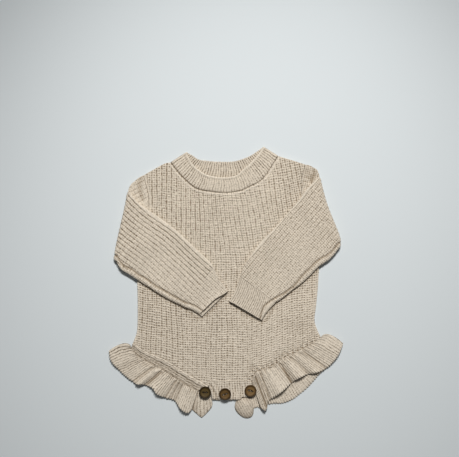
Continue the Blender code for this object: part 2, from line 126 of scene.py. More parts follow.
def from_line(points, x, y):
    """For each plan point, its distance from a curve, how far along it lies, and on which side."""
    line = smooth_line(points)
    best = np.full(np.shape(x), np.inf)
    along = np.zeros(np.shape(x))
    side = np.ones(np.shape(x))
    run = run_along(line)
    for a, b, start in zip(line, line[1:], run):
        d = b - a
        length = np.hypot(*d)
        off_x, off_y = x - a[0], y - a[1]
        t = np.clip((off_x * d[0] + off_y * d[1]) / length**2, 0, 1)
        gap = np.hypot(off_x - t * d[0], off_y - t * d[1])
        nearer = gap < best
        best = np.where(nearer, gap, best)
        along = np.where(nearer, start + t * length, along)
        side = np.where(nearer, np.sign(d[0] * off_y - d[1] * off_x), side)
    return best, along, side


def bell(distance, width):
    """1 at no distance, falling smoothly to nothing at about twice the width."""
    return np.exp(-((distance / width) ** 2))


def ease(value, low, high):
    """0 below low and 1 above high, with a smooth rise between."""
    t = np.clip((value - low) / (high - low), 0, 1)
    return t * t * (3 - 2 * t)


def unevenness(x, y, size, seed):
    """The slight unevenness of hand-laid knit, about -1 to 1, from a few crossed waves."""
    rng = np.random.default_rng(seed)
    total = np.zeros(np.broadcast(x, y).shape)
    for _ in range(6):
        angle, phase = rng.uniform(0, 2 * math.pi, 2)
        wave = size * rng.uniform(0.7, 1.6)
        total += np.sin(2 * math.pi * (x * math.cos(angle) + y * math.sin(angle)) / wave + phase)
    return total / 3


def loops(u, v, stitch, rib, row):
    """How deep the knit is at each point, 0 on a stitch and 1 in a hollow.

    stitch is (rib pitch, row pitch, depth of the groove halfway between ribs). The shader's group
    works out the same pattern from the same coordinates.
    """
    rib_pitch, row_pitch, half = stitch
    turn = np.cos(2 * math.pi * u / rib_pitch)
    cell = rib_pitch / 4
    to_groove = np.abs((u + cell) % (2 * cell) - cell)
    rows = (0.5 + 0.5 * np.cos(2 * math.pi * (v + 0.5 * to_groove) / row_pitch)) ** 3
    ribs = (0.5 + 0.5 * turn) ** 4 * (0.55 + 0.45 * rows)
    halves = half * (0.5 - 0.5 * turn) ** 4 * (0.2 + 0.8 * rows)
    return np.clip(rib * (ribs + halves) + row * rows * (0.25 + 0.4 * turn * turn), 0, 1)


def rim_of(rows, columns):
    """The grid places round a sheet's edge, in the order in which its upper faces pass them."""
    return ([(0, j) for j in range(columns - 1)] + [(i, columns - 1) for i in range(rows - 1)]
            + [(rows - 1, j) for j in range(columns - 1, 0, -1)] + [(i, 0) for i in range(rows - 1, 0, -1)])


def cloth_mesh(name, over, under, u, v, shape, coarse, ring):
    """One closed skin of knit from two grids of points, the visible side and the hidden one.

    The hidden grid has one point to each coarse steps of the visible one. A ring joins its last column
    to its first, as a sleeve does. u and v are the knit's coordinates, and shape is its (rib, row, shade).
    """
    rows, columns = over.shape[:2]
    under_rows, under_columns = under.shape[:2]
    base = rows * columns

    def top(i, j):
        return i * columns + j % columns

    def low(i, j):
        return base + i * under_columns + j % under_columns

    faces = []
    for i in range(rows - 1):
        for j in range(columns if ring else columns - 1):
            faces.append((top(i, j), top(i, j + 1), top(i + 1, j + 1), top(i + 1, j)))
    for i in range(under_rows - 1):
        for j in range(under_columns if ring else under_columns - 1):
            faces.append((low(i, j), low(i + 1, j), low(i + 1, j + 1), low(i, j + 1)))
    if ring:
        rims = [([(0, j) for j in range(columns)], [(0, j) for j in range(under_columns)]),
                ([(rows - 1, -j) for j in range(columns)],
                 [(under_rows - 1, -j) for j in range(under_columns)])]
    else:
        rims = [(rim_of(rows, columns), rim_of(under_rows, under_columns))]
    for fine, plain in rims:
        fine, plain = fine + fine[:1], plain + plain[:1]
        for k in range(len(plain) - 1):
            step = fine[k * coarse:(k + 1) * coarse + 1]
            faces.append(tuple(top(*at) for at in reversed(step)) + (low(*plain[k]), low(*plain[k + 1])))
    points = np.vstack([over.reshape(-1, 3), under.reshape(-1, 3)])
    corners = np.array([face[:3] for face in faces])
    quads = np.array([(face[0], face[2], face[-1]) for face in faces])
    volume = 0.0
    for index in (corners, quads):
        a, b, c = (points[index[:, k]] for k in range(3))
        volume += np.einsum("ij,ij->i", a, np.cross(b, c)).sum()
    if volume < 0:
        faces = [face[::-1] for face in faces]
    mesh = bpy.data.meshes.new(name)
    mesh.from_pydata(((points + GARMENT_PLACE) * MM).tolist(), [], faces)
    every = np.stack([u, v], axis=2)
    uv = np.vstack([every.reshape(-1, 2), every[::coarse, ::coarse].reshape(-1, 2)]) * MM
    corner_points = np.empty(len(mesh.loops), np.int32)
    mesh.loops.foreach_get("vertex_index", corner_points)
    layer = mesh.uv_layers.new(name="knit")
    layer.data.foreach_set("uv", uv[corner_points].ravel().astype(np.float32))
    tone = np.stack([np.broadcast_to(s, u.shape) for s in (*shape, np.ones(u.shape))], axis=2)
    tone = np.vstack([tone.reshape(-1, 4), tone[::coarse, ::coarse].reshape(-1, 4)])
    # The shape attribute holds rib and row strength, and in its third channel the painted shade.
    attribute = mesh.color_attributes.new("shape", "FLOAT_COLOR", "POINT")
    attribute.data.foreach_set("color", tone.ravel().astype(np.float32))
    mesh.shade_smooth()
    return mesh


def add_node(tree, kind, **settings):
    """A new shader node with these settings."""
    made = tree.nodes.new(kind)
    for key, value in settings.items():
        setattr(made, key, value)
    return made


def maths(tree, operation, *values):
    """A Math node on numbers or sockets, as its output socket."""
    made = add_node(tree, "ShaderNodeMath", operation=operation)
    for socket, value in zip(made.inputs, values):
        if isinstance(value, (int, float)):
            socket.default_value = value
        else:
            tree.links.new(value, socket)
    return made.outputs[0]


def fine_noise(tree, vector, size, detail=2.0):
    """A Noise texture whose spots are about size metres across, as its value socket."""
    made = add_node(tree, "ShaderNodeTexNoise", noise_dimensions="3D")
    made.inputs["Scale"].default_value = 1 / size
    made.inputs["Detail"].default_value = detail
    tree.links.new(vector, made.inputs["Vector"])
    return made.outputs["Fac"]


def knit_group():
    """The shader group of every knitted piece: the colour and height of its loops, hollows and fluff, with
    the hollows and the shade channel painted as shade.
    """
    tree = bpy.data.node_groups.new("knitted loops", "ShaderNodeTree")
    face = tree.interface
    for label, kind in (("Light Yarn", "NodeSocketColor"), ("Shadow Yarn", "NodeSocketColor"),
                        ("Rib Pitch", "NodeSocketFloat"), ("Row Pitch", "NodeSocketFloat"),
                        ("Half Rib", "NodeSocketFloat")):
        face.new_socket(label, in_out="INPUT", socket_type=kind)
    face.new_socket("Color", in_out="OUTPUT", socket_type="NodeSocketColor")
    face.new_socket("Height", in_out="OUTPUT", socket_type="NodeSocketFloat")
    given = add_node(tree, "NodeGroupInput").outputs
    result = add_node(tree, "NodeGroupOutput").inputs
    coordinates = add_node(tree, "ShaderNodeUVMap", uv_map="knit").outputs["UV"]
    place = add_node(tree, "ShaderNodeSeparateXYZ")
    tree.links.new(coordinates, place.inputs[0])
    u, v = place.outputs[0], place.outputs[1]
    worked = add_node(tree, "ShaderNodeAttribute", attribute_name="shape")
    parts = add_node(tree, "ShaderNodeSeparateColor")
    tree.links.new(worked.outputs["Color"], parts.inputs[0])
    rib, row, shade = parts.outputs[0], parts.outputs[1], parts.outputs[2]
    solid_place = add_node(tree, "ShaderNodeTexCoord").outputs["Object"]

    def m(operation, *values):
        return maths(tree, operation, *values)

    turn = m("COSINE", m("MULTIPLY", m("DIVIDE", u, given["Rib Pitch"]), 2 * math.pi))
    cell = m("MULTIPLY", given["Rib Pitch"], 0.25)
    to_groove = m("PINGPONG", u, cell)
    slanted = m("DIVIDE", m("MULTIPLY_ADD", to_groove, 0.5, v), given["Row Pitch"])
    row_turn = m("COSINE", m("MULTIPLY", slanted, 2 * math.pi))
    rows = m("POWER", m("MULTIPLY_ADD", row_turn, 0.5, 0.5), 3.0)
    ribs = m("MULTIPLY", m("POWER", m("MULTIPLY_ADD", turn, 0.5, 0.5), 4.0),
             m("MULTIPLY_ADD", rows, 0.45, 0.55))
    halves = m("MULTIPLY", m("POWER", m("MULTIPLY_ADD", turn, -0.5, 0.5), 4.0),
               m("MULTIPLY_ADD", rows, 0.8, 0.2))
    grooves = m("MULTIPLY_ADD", halves, given["Half Rib"], ribs)
    across_rows = m("MULTIPLY", m("MULTIPLY", rows, row),
                    m("MULTIPLY_ADD", m("MULTIPLY", turn, turn), 0.4, 0.25))
    hollow = m("MULTIPLY_ADD", grooves, rib, across_rows)
    per_stitch = fine_noise(tree, solid_place, 0.0034, 1.0)
    uneven = m("MULTIPLY_ADD", per_stitch, 3.2, -0.6)
    hollow = m("MULTIPLY", hollow, uneven)
    # Painted shade: the stitch hollows and the shade channel mix the colour towards the shadow yarn; a
    # negative shade paints the hollows lighter.
    dark = m("ADD", hollow, shade)
    dark.node.use_clamp = True
    yarn = fine_noise(tree, solid_place, 0.0016, 3.0)
    patches = fine_noise(tree, solid_place, 0.045, 2.0)
    mix = add_node(tree, "ShaderNodeMix", data_type="RGBA")
    tree.links.new(dark, mix.inputs["Factor"])
    tree.links.new(given["Light Yarn"], mix.inputs["A"])
    tree.links.new(given["Shadow Yarn"], mix.inputs["B"])
    tint = add_node(tree, "ShaderNodeHueSaturation")
    lightness = m("MULTIPLY_ADD", yarn, 1.10, m("MULTIPLY_ADD", patches, 0.20, 0.375))
    tree.links.new(lightness, tint.inputs["Value"])
    tree.links.new(mix.outputs["Result"], tint.inputs["Color"])
    tree.links.new(tint.outputs["Color"], result["Color"])
    plies = m("SINE", m("MULTIPLY", m("ADD", u, m("MULTIPLY", v, 1.6)), 2 * math.pi / 0.0009))
    height = m("MULTIPLY_ADD", plies, 0.05, m("MULTIPLY_ADD", yarn, 0.5, m("MULTIPLY", hollow, -0.8)))
    tree.links.new(height, result["Height"])
    return tree


KNIT = knit_group()
knit_materials = {}


def knit_material(name, stitch):
    """The yarn and stitch of one kind of knit in the garment."""
    if name in knit_materials:
        return knit_materials[name]
    made = bpy.data.materials.new(name)
    made.use_nodes = True
    tree = made.node_tree
    shader = tree.nodes["Principled BSDF"]
    shader.inputs["Roughness"].default_value = 0.95
    shader.inputs["Specular IOR Level"].default_value = 0.12
    shader.inputs["Sheen Weight"].default_value = 0.12
    shader.inputs["Sheen Roughness"].default_value = 0.6
    group = add_node(tree, "ShaderNodeGroup", node_tree=KNIT)
    group.inputs["Light Yarn"].default_value = (*LIGHT_YARN, 1)
    group.inputs["Shadow Yarn"].default_value = (*SHADOW_YARN, 1)
    group.inputs["Rib Pitch"].default_value = stitch[0] * MM
    group.inputs["Row Pitch"].default_value = stitch[1] * MM
    group.inputs["Half Rib"].default_value = stitch[2]
    bump = add_node(tree, "ShaderNodeBump")
    bump.inputs["Strength"].default_value = 0.7
    bump.inputs["Distance"].default_value = 0.0009
    tree.links.new(group.outputs["Color"], shader.inputs["Base Color"])
    tree.links.new(group.outputs["Height"], bump.inputs["Height"])
    tree.links.new(bump.outputs["Normal"], shader.inputs["Normal"])
    knit_materials[name] = made
    return made


# How deep, in millimetres, the knit sinks where its painted shade is full, so that painted shade lies in a
# real dip.
SHADE_DEPTH = 0.8


def knit_piece(node, grids, knit, stitch, depth, finish, coarse=1, ring=False, normals=None):
    """Makes a knitted piece that stands for a solid of the frame.

    grids are its visible and hidden points, knit is (u, v, rib, row, shade), depth is that of its
    hollows, and finish is (material name, slot), whose slot is not used.
    """
    over, under = grids
    u, v, rib, row, shade = knit
    sunk = (depth * loops(u, v, stitch, rib, row) + SHADE_DEPTH * np.broadcast_to(shade, u.shape))[:, :, None]
    over = over - sunk * (np.array([0, 0, 1.0]) if normals is None else normals)
    # Nothing reaches below the surface that the garment lies on.
    over[:, :, 2] = np.maximum(over[:, :, 2], 0)
    mesh = cloth_mesh(node + "_knit", over, under, u, v, (rib, row, shade), coarse, ring)
    mesh.materials.append(knit_material(finish[0], stitch))
    piece = bpy.data.objects.new(node + "_knit", mesh)
    bpy.context.scene.collection.objects.link(piece)
    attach(piece, "root")
    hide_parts(node)
    return piece


def edge_x(points):
    """x against y along an edge that rises steadily."""
    line = smooth_line(points)
    line = line[np.argsort(line[:, 1])]
    return lambda y: np.interp(y, line[:, 1], line[:, 0])


def panel_plan(left, right, low, high, columns, rows):
    """Plan points of a panel, in rows from its low edge to its high one and columns from left to right."""
    share = np.linspace(0, 1, columns)
    ends = []
    for edge in (low, high):
        x = left(0) * (1 - share) + right(0) * share
        for _ in range(15):
            y = edge(x)
            x = left(y) * (1 - share) + right(y) * share
        ends.append(edge(x))
    t = np.linspace(0, 1, rows)[:, None]
    y = ends[0] * (1 - t) + ends[1] * t
    return left(y) * (1 - share) + right(y) * share, y


def margins(x, y):
    """How far each point of a panel is from its sides, and from its low and high ends."""
    return np.minimum(x - x[:, :1], x[:, -1:] - x), np.minimum(y - y[:1], y[-1:] - y)


def body_sides():
    """The body's two side edges, from hip to shoulder."""
    left = edge_x(SIDE_LEFT + ARMHOLE_LEFT[::-1])
    right = edge_x(SIDE_RIGHT + ARMHOLE_RIGHT[::-1])
    inset = GAP / 2
    return lambda y: left(y) + inset, lambda y: right(y) - inset


def lifted(x, y, z):
    """A grid of points from plan and height."""
    return np.stack([x, y, np.broadcast_to(z, x.shape)], axis=2)


def joined_edges(*edges, shift=0.0):
    """y against x along several edges that follow one another, moved up by shift."""
    line = np.vstack([smooth_line(edge) for edge in edges])
    line = line[np.argsort(line[:, 0], kind="stable")]
    return lambda x: np.interp(x, line[:, 0], line[:, 1]) + shift


BODY_STITCH = (7.5, 3.5, 0.85)
left_side, right_side = body_sides()
back_low = joined_edges(GATHER_LEFT, [(-34, -158), (-27, CROTCH_TOP - GAP), (30, CROTCH_TOP - GAP)],
                        GATHER_RIGHT[::-1], shift=1.3)
back_high = joined_edges(SHOULDER_LEFT, NECK_BACK_SEAM, SHOULDER_RIGHT, shift=-GAP / 2)
x, y = panel_plan(left_side, right_side, back_low, back_high, 81, 101)
side, end = margins(x, y)
back_top = CLOTH - 0.9 * (1 - ease(side, 0, 3.5)) - 0.5 * (1 - ease(end, 0, 2))
knit_piece("back_panel", (lifted(x, y, back_top), lifted(x[::4, ::4], y[::4, ::4], 0.0)),
           (x, y, np.full(x.shape, 0.7), np.full(x.shape, 0.4), np.zeros(x.shape)), BODY_STITCH, 0.8,
           ("body knit", "body_knit"), coarse=4)

# --------------------
# Front panel. The same knit, cut with a low round neck and curved leg edges, and sewn to the back at
# the shoulders and sides. Ribs are strong at the upper left, and rows at the lower right.
# --------------------
SEWN_CLOSE = 0.05
LEG_SEAM_LEFT = [HIP_LEFT, (-120.9, -101.6), (-89.7, -115.2), (-66.2, -130.2), (-41.3, -145.1),
                 (-27, -153.5)]
LEG_SEAM_RIGHT = [HIP_RIGHT, (124.5, -85.2), (101, -98), (79.3, -107.9), (63, -121), (42, -127.2),
                  (33, -137.5), (30, -146)]


def front_knit(x, y):
    """The front's knit coordinates: wales lean near the right shoulder, and rows sag between the hips."""
    lean = 0.17 * ease(x, -80, 30)
    above = 0.5 * ((y - 30) + np.hypot(y - 30, 20))
    u = x + lean * above + 1.1 * unevenness(x, y, 60, 3) + 0.35 * unevenness(x, y, 16, 4)
    u = u + 0.28 * unevenness(x, y, 7.5, 6)
    v = y - 0.0007 * x**2 - 0.07 * x * ease(y, 20, 110) + 1.1 * unevenness(x, y, 55, 5)
    v = v + 0.4 * unevenness(x, y, 9, 7)
    wavy = ease(x, 10, 70) * (1 - ease(y, -60, 0))
    v += 0.9 * wavy * np.sin(2 * math.pi * (x + 0.3 * y) / 12)
    return u, v


front_low = joined_edges(LEG_SEAM_LEFT, [(-25, CROTCH_TOP), (27, CROTCH_TOP)], LEG_SEAM_RIGHT[::-1],
                         shift=SEWN_CLOSE)
front_high = joined_edges(SHOULDER_LEFT, NECK_SEAM, SHOULDER_RIGHT, shift=-GAP)
x, y = panel_plan(left_side, right_side, front_low, front_high, 237, 365)
u, v = front_knit(x, y)
side, end = margins(x, y)
upper_left = ease(-x, -30, 50) * ease(y, 20, 90)
left_strip = ease(-x, 40, 90)
lower_right = ease(x, 0, 80) * (1 - ease(y, -40, 20))
upper_right = ease(x, 30, 90) * ease(y, 20, 90)
strong = np.maximum(np.maximum(upper_left, 0.35 * left_strip), 0.8 * upper_right)
rib = np.clip(0.68 + 0.36 * strong - 0.3 * lower_right - 0.14 * (1 - ease(y, -110, -50)), 0, 1.05)
row = np.clip(0.62 - 0.22 * upper_left - 0.26 * ease(y, 10, 80) + 0.10 * (1 - ease(y, -90, -20))
              + 0.2 * lower_right, 0, 1)
to_neck, neck_run, _ = from_line(NECK_SEAM, x, y)
neck_ridge = bell(to_neck - 3.0, 1.5)
to_leg, leg_run, _ = from_line(LEG_SEAM_RIGHT, x, y)
pucker_run = leg_run + 1.5 * unevenness(x, y, 25, 9)
puckered = bell(to_leg, 6) * (0.5 + 0.5 * np.cos(2 * math.pi * pucker_run / 8.5))
hip_dip = bell(np.hypot((x - 112) / 1.1, y + 68), 17)
over_button = bell(from_line([(37, -126), (39, -138), (36, -150)], x, y)[0], 2.2)
sleeve_edges = [(-134, 3), (-119.6, -6.1), (-91.1, -23.9), (-64, -37.5), (-37.5, -51.5), (3, -13)]
other_edges = [(140, 24), (124.1, 9.6), (97, -12.8), (73, -31), (52, -57.5), (2.9, -28.5)]
painted_sleeve_shadow = bell(np.minimum(from_line(sleeve_edges, x, y)[0], from_line(other_edges, x, y)[0]), 2.0)
rib = rib * (1 - 0.7 * neck_ridge) * np.maximum(ease(side, 0.5, 4), ease(x, 60, 90) * ease(y, 110, 130))
seam_stitches = 0.55 + 0.45 * np.cos(2 * math.pi * (neck_run + 1.2 * to_neck) / 4.3)
# Painted shade: in the neck seam's groove, broken into stitch-like dashes, in the hip dip, the puckers by the
# right leg seam and the crease by the right button, and a painted shadow along the sleeves' low edges; the
# ridge beside the neck seam has a painted highlight.
shade = (bell(to_neck, 1.3) * (0.18 + 0.22 * ease(-x, 10, 45) + 0.25 * seam_stitches * (1 - ease(x, 20, 60)))
         + 0.12 * hip_dip + 0.16 * puckered + 0.3 * over_button + 0.28 * painted_sleeve_shadow - 0.10 * neck_ridge)
soft_end = (1 - 0.95 * ease(x, -20, -5) * (1 - ease(y, -40, 0))
            - 0.75 * ease(-x, 5, 20) * (1 - ease(y, -60, 0)))
side_drop = 1.4 - 0.9 * ease(x, 20, 80) * ease(y, 90, 120)
front_top = (2 * CLOTH + GAP + 0.35 * neck_ridge - side_drop * (1 - ease(side, 0, 4.5))
             - 0.8 * soft_end * (1 - ease(end, 0, 2.2)) - 0.7 * hip_dip - 0.8 * puckered - 0.6 * over_button
             + 0.15 * unevenness(x, y, 45, 8))
knit_piece("front_panel", (lifted(x, y, front_top), lifted(x[::4, ::4], y[::4, ::4], FRONT_LEVEL)),
           (u, v, rib, row, shade), BODY_STITCH, 1.3, ("body knit", "body_knit"),
           coarse=4)

# --------------------
# Neckband. A doubled strip of finer rib, sewn round the neck with its ribs square to the seam. Its back
# half shows inside the neck, with painted shade near its seam, and its free edge is a smooth roll with a
# painted highlight.
# --------------------
NECK_FRONT_EDGE = [(-60.7, 196), (-55.7, 185.1), (-49.5, 176), (-38.3, 166.8), (-24.9, 160.7),
                   (-3, 158.3), (14, 161.4), (22, 168.5), (33.5, 178.7), (45.2, 191), (54.8, 204)]
NECK_BACK_EDGE = [(-60.7, 196), (-50.6, 190.4), (-42.3, 185.1), (-30, 183.2), (-13, 181.8),
                  (10.5, 182.4), (31.5, 189), (44, 196.5), (54.8, 204)]


def strip_plan(first, second, rows):
    """Plan rows from one edge of a strip to the other."""
    t = np.linspace(0, 1, rows)[:, None, None]
    plan = first * (1 - t) + second * t
    return plan[:, :, 0], plan[:, :, 1]


def neckband(node, seam, edge, level, ribs, crown, rolled):
    """Half of the neckband, from its seam to its free edge, which is rolled on the front half."""
    columns, rows = 401, 33
    pitch = 5.2
    start = beside(spaced_line(seam, columns), GAP / 2)
    x, y = strip_plan(start, spaced_line(edge, columns), rows)
    t = np.linspace(0, 1, rows)[:, None] * np.ones(columns)
    share = np.linspace(0, 1, columns) * np.ones((rows, 1))
    bend = 1.6 * (0.5 - np.abs(share - 0.5)) * np.cos(2.2 * math.pi * t)
    u = share * ribs * pitch + 0.55 * unevenness(x, y, 24, 11) + 0.5 * unevenness(x, y, 9, 13) + bend
    v = t * 23 + 0.4 * unevenness(x, y, 20, 12)
    roll = rolled * ease(t, 0.84, 0.93)
    near_seam = rolled * (1 - ease(t, 0, 0.08))
    scallop = (1 - rolled) * 0.8 * np.cos(2 * math.pi * u / pitch) * ease(t, 0.8, 1)
    y = y - scallop
    top = (CLOTH + level + crown * np.sin(math.pi * t) - 0.9 * near_seam
           + 0.45 * rolled * bell(t - 0.93, 0.06) - 1.0 * ease(t, 0.96, 1.0))
    slanting = ease(np.abs(share - 0.5), 0.12, 0.34)
    rib = ((0.56 + 0.34 * slanting + 0.24 * (1 - rolled))
           * (1 + 0.3 * unevenness(share * 500, t, 31, 14)) * (1 - roll))
    # Painted shade at the rolled band's seam and in the crease under its roll, a painted highlight on the
    # roll, a slight darkening all over, and on the back band painted shade near its seam, beside the front
    # band.
    shade = (rolled * (0.10 + 0.2 * (1 - ease(share, 0.3, 0.5))) * bell(t, 0.04)
             + 0.14 * rolled * bell(t - 0.83, 0.035)
             - 0.10 * roll + 0.05 + (1 - rolled) * (0.04 + 0.10 * (1 - ease(t, 0.2, 0.5))))
    knit_piece(node, (lifted(x, y, top), lifted(x[::4, ::4], y[::4, ::4], level)),
               (u, v, rib, np.full(x.shape, 0.16), shade), (pitch, 2.6, 0.08), 1.2,
               ("rib knit neck", "rib_knit"), coarse=4)


neckband("neckband_back", NECK_BACK_SEAM, NECK_BACK_EDGE, 0.0, 40, 0.0, 0)
neckband("neckband_front", NECK_SEAM, NECK_FRONT_EDGE, FRONT_LEVEL, 48, 0.5, 1)

# --------------------
# Sleeves. Each is one piece of the body's knit, seamed into a tube, that leaves the armhole, turns
# over at the fold and lies back across the front. The underarm seam makes the long groove near
# its low edge.
# --------------------
FOLD_LEFT = [(-144.4, 135.5), (-147.5, 117), (-154.3, 87), (-161, 57), (-165.2, 32)]
SLEEVE_TOP_LEFT = [(-144.4, 135.5), (-133.5, 121.7), (-117, 109.4), (-98.7, 97.1), (-81.3, 83.9),
                   (-65.9, 70.5), (-46.4, 52.1), (-25.8, 32.8), (-20, 25)]
SLEEVE_LOW_LEFT = [(-165.2, 32), (-157.5, 19.5), (-143.8, 11.5), (-119.6, -4.1), (-91.1, -21.9),
                   (-77.4, -28.8), (-64, -35.5)]
FOLD_RIGHT = [(134.8, 157), (138.2, 142), (143.5, 122.4), (149.6, 105), (156.7, 87.6), (163.9, 69),
              (166.9, 52)]
SLEEVE_TOP_RIGHT = [(134.8, 157), (118.9, 140.8), (105.6, 122.4), (88.2, 101.9), (69.8, 81.4),
                    (51.3, 63), (34.6, 41), (24, 24.5), (19.6, 10)]
SLEEVE_LOW_RIGHT = [(166.9, 52), (155.8, 38), (137, 24.5), (124.1, 11.6), (109.9, -1.4),
                    (97, -10.8), (84.1, -21.4), (73, -29)]


def tube_ring(width, face_steps, back_steps):
    """The section of a flattened tube as (across, above): over its visible face, then back under it."""
    half = TUBE_DEPTH / 2
    turn = np.linspace(0, math.pi / 2, 7)
    near_across, near_above = half * (1 - np.cos(turn)), half * np.sin(turn)
    face = np.linspace(half, width - half, face_steps)[1:-1]
    back = np.linspace(width - half, half, back_steps)[1:-1]
    across = np.concatenate([near_across, face, width - near_across[::-1], width - near_across[1:],
                             back, near_across[:0:-1]])
    above = np.concatenate([near_above, np.full(len(face), half), near_above[::-1], -near_above[1:],
                            np.full(len(back), -half), -near_above[:0:-1]])
    return across, above


def tube_grids(stations, face_steps, back_steps, coarse):
    """The outer and inner points of a flattened tube, and the outer ones' places on its section.

    Each station is (line from the top edge to the low one at mid height, normal of the visible face).
    """
    outer, inner, places = [], [], []
    slit = GAP / 2
    for line, normal in stations:
        run = run_along(line)
        across, above = tube_ring(run[-1], face_steps, back_steps)
        places.append(np.stack([across, above, run[-1] - across], axis=1))
        inside = 0.95 * CLOTH + (run[-1] - 1.9 * CLOTH) * across / run[-1]
        for rings, at, height in ((outer, across, above), (inner, inside, above * 2 * slit / TUBE_DEPTH)):
            middle = np.stack([np.interp(at, run, line[:, k]) for k in range(3)], axis=1)
            rings.append(middle + height[:, None] * np.asarray(normal, float))
    return np.array(outer), np.array(inner)[::coarse, ::coarse], np.array(places)


def ring_normals(grid, face_column):
    """Outward directions all over a ring grid, judged by a column that faces up at its last station."""
    round_it = np.roll(grid, -1, axis=1) - np.roll(grid, 1, axis=1)
    along = np.gradient(grid, axis=0)
    normal = np.cross(round_it, along)
    normal /= np.linalg.norm(normal, axis=2, keepdims=True) + 1e-9
    return normal if normal[-1, face_column, 2] > 0 else -normal


def sleeve_stations(armhole, fold, top_edge, low_edge, fullness, outward, counts):
    """Lines across the sleeve from the armhole to the fold, round the fold, and on to the cuff."""
    centre = TUBE_DEPTH / 2
    radius = centre + GAP / 2
    across = 41
    before, turning, after = counts
    flat_ends = np.array([0, 0, 1.0])
    begin = beside(spaced_line(armhole, across), outward * GAP / 2)
    axis = spaced_line(fold, across)
    head = begin[0] - axis[0]
    head_out = outward * np.array([head[1], -head[0]]) / np.linalg.norm(head)
    near_top = np.linspace(1, 0, across)[:, None] ** 3

    def raised(plan, height):
        return np.column_stack([plan, np.full(len(plan), height)])

    stations = []
    for share in np.linspace(0, 1, before, endpoint=False):
        full = fullness * 4 * share * (1 - share) + 4.2 * ease(share, 0.25, 1.0)
        plan = begin * (1 - share) + axis * share + full * near_top * head_out
        stations.append((raised(plan, centre), -flat_ends))
    way = axis[-1] - axis[0]
    shares = np.linspace(0, 1, across)
    rounded = 1 - 0.9 * ease(shares, 0.93, 1.0)
    out = outward * np.array([-way[1], way[0]]) / np.linalg.norm(way)
    for turn in np.linspace(0, math.pi, turning):
        normal = np.array([*(out * math.sin(turn)), -math.cos(turn)])
        reach = np.column_stack([rounded * normal[0], rounded * normal[1], np.full(across, normal[2])])
        stations.append((raised(axis, TUBE_DEPTH + GAP / 2) + radius * reach, normal))
    top, low = spaced_line(top_edge, after + 1), spaced_line(low_edge, after + 1)
    share = np.linspace(0, 1, across)[:, None]
    straight = axis[0] * (1 - share) + axis[-1] * share
    for k in range(1, after + 1):
        bow = (1 - k / after) ** 2 * (axis - straight)
        plan = top[k] * (1 - share) + low[k] * share + bow
        stations.append((raised(plan, SLEEVE_LEVEL + centre), flat_ends))
    return stations, top, low


def unfolded(x, y, fold, before):
    """Plan points with those ahead of the fold mirrored over it, so that the knit runs on round it."""
    start, stop = np.array(fold[0], float), np.array(fold[-1], float)
    way = (stop - start) / np.linalg.norm(stop - start)
    normal = np.array([-way[1], way[0]])
    off = (x[:before] - start[0]) * normal[0] + (y[:before] - start[1]) * normal[1]
    x, y = x.copy(), y.copy()
    x[:before] -= 2 * off * normal[0]
    y[:before] -= 2 * off * normal[1]
    return x, y


# Cross sections of a sleeve before it turns over, round the fold, and from there to the cuff.
BEHIND, ROUND_FOLD, ALONG_FRONT = 28, 11, 158


def sleeve_form(armhole, fold, top_edge, low_edge, fullness, outward):
    """One sleeve's grids, normals, knit coordinates along its top edge, and its cuff seam's ends."""
    counts = (BEHIND, ROUND_FOLD, ALONG_FRONT)
    stations, top, low = sleeve_stations(armhole, fold, top_edge, low_edge, fullness, outward, counts)
    outer, inner, places = tube_grids(stations, 106, 58, 4)
    normals = ring_normals(outer, 50)
    x, y = unfolded(outer[:, :, 0], outer[:, :, 1], fold, BEHIND)
    edge = np.array(top_edge, float)
    guide = edge[[0, 2, 4, 6]]
    guide = [guide[0] - 3 * (edge[1] - edge[0]), *guide, guide[-1] + 2 * (guide[-1] - guide[-2])]
    turned = -1 if outward > 0 else 1
    return outer, inner, places, normals, *sleeve_knit(guide, turned, x, y), top[-1], low[-1], guide, turned


def sleeve_knit(guide, turned, x, y):
    """A sleeve's knit coordinates: how far each point is below its top edge, and along it."""
    gap, along, side = from_line(guide, x, y)
    u = -gap * side * turned + 0.5 * unevenness(x, y, 50, 21) + 0.3 * unevenness(x, y, 14, 22)
    return u, along + 0.7 * unevenness(x, y, 40, 23) + 0.35 * unevenness(x, y, 8, 24)


SLEEVES = {}
for label, armhole, fold, top_edge, low_edge, fullness, outward in (
        ("left", ARMHOLE_LEFT, FOLD_LEFT, SLEEVE_TOP_LEFT, SLEEVE_LOW_LEFT, 5.0, -1),
        ("right", ARMHOLE_RIGHT, FOLD_RIGHT, SLEEVE_TOP_RIGHT, SLEEVE_LOW_RIGHT, 6.5, 1)):
    SLEEVES[label] = sleeve_form(armhole, fold, top_edge, low_edge, fullness, outward)


def dent(x, y, line, width):
    """How deep a point is in a crease along a line, from 0 to 1."""
    return bell(from_line(line, x, y)[0], width)


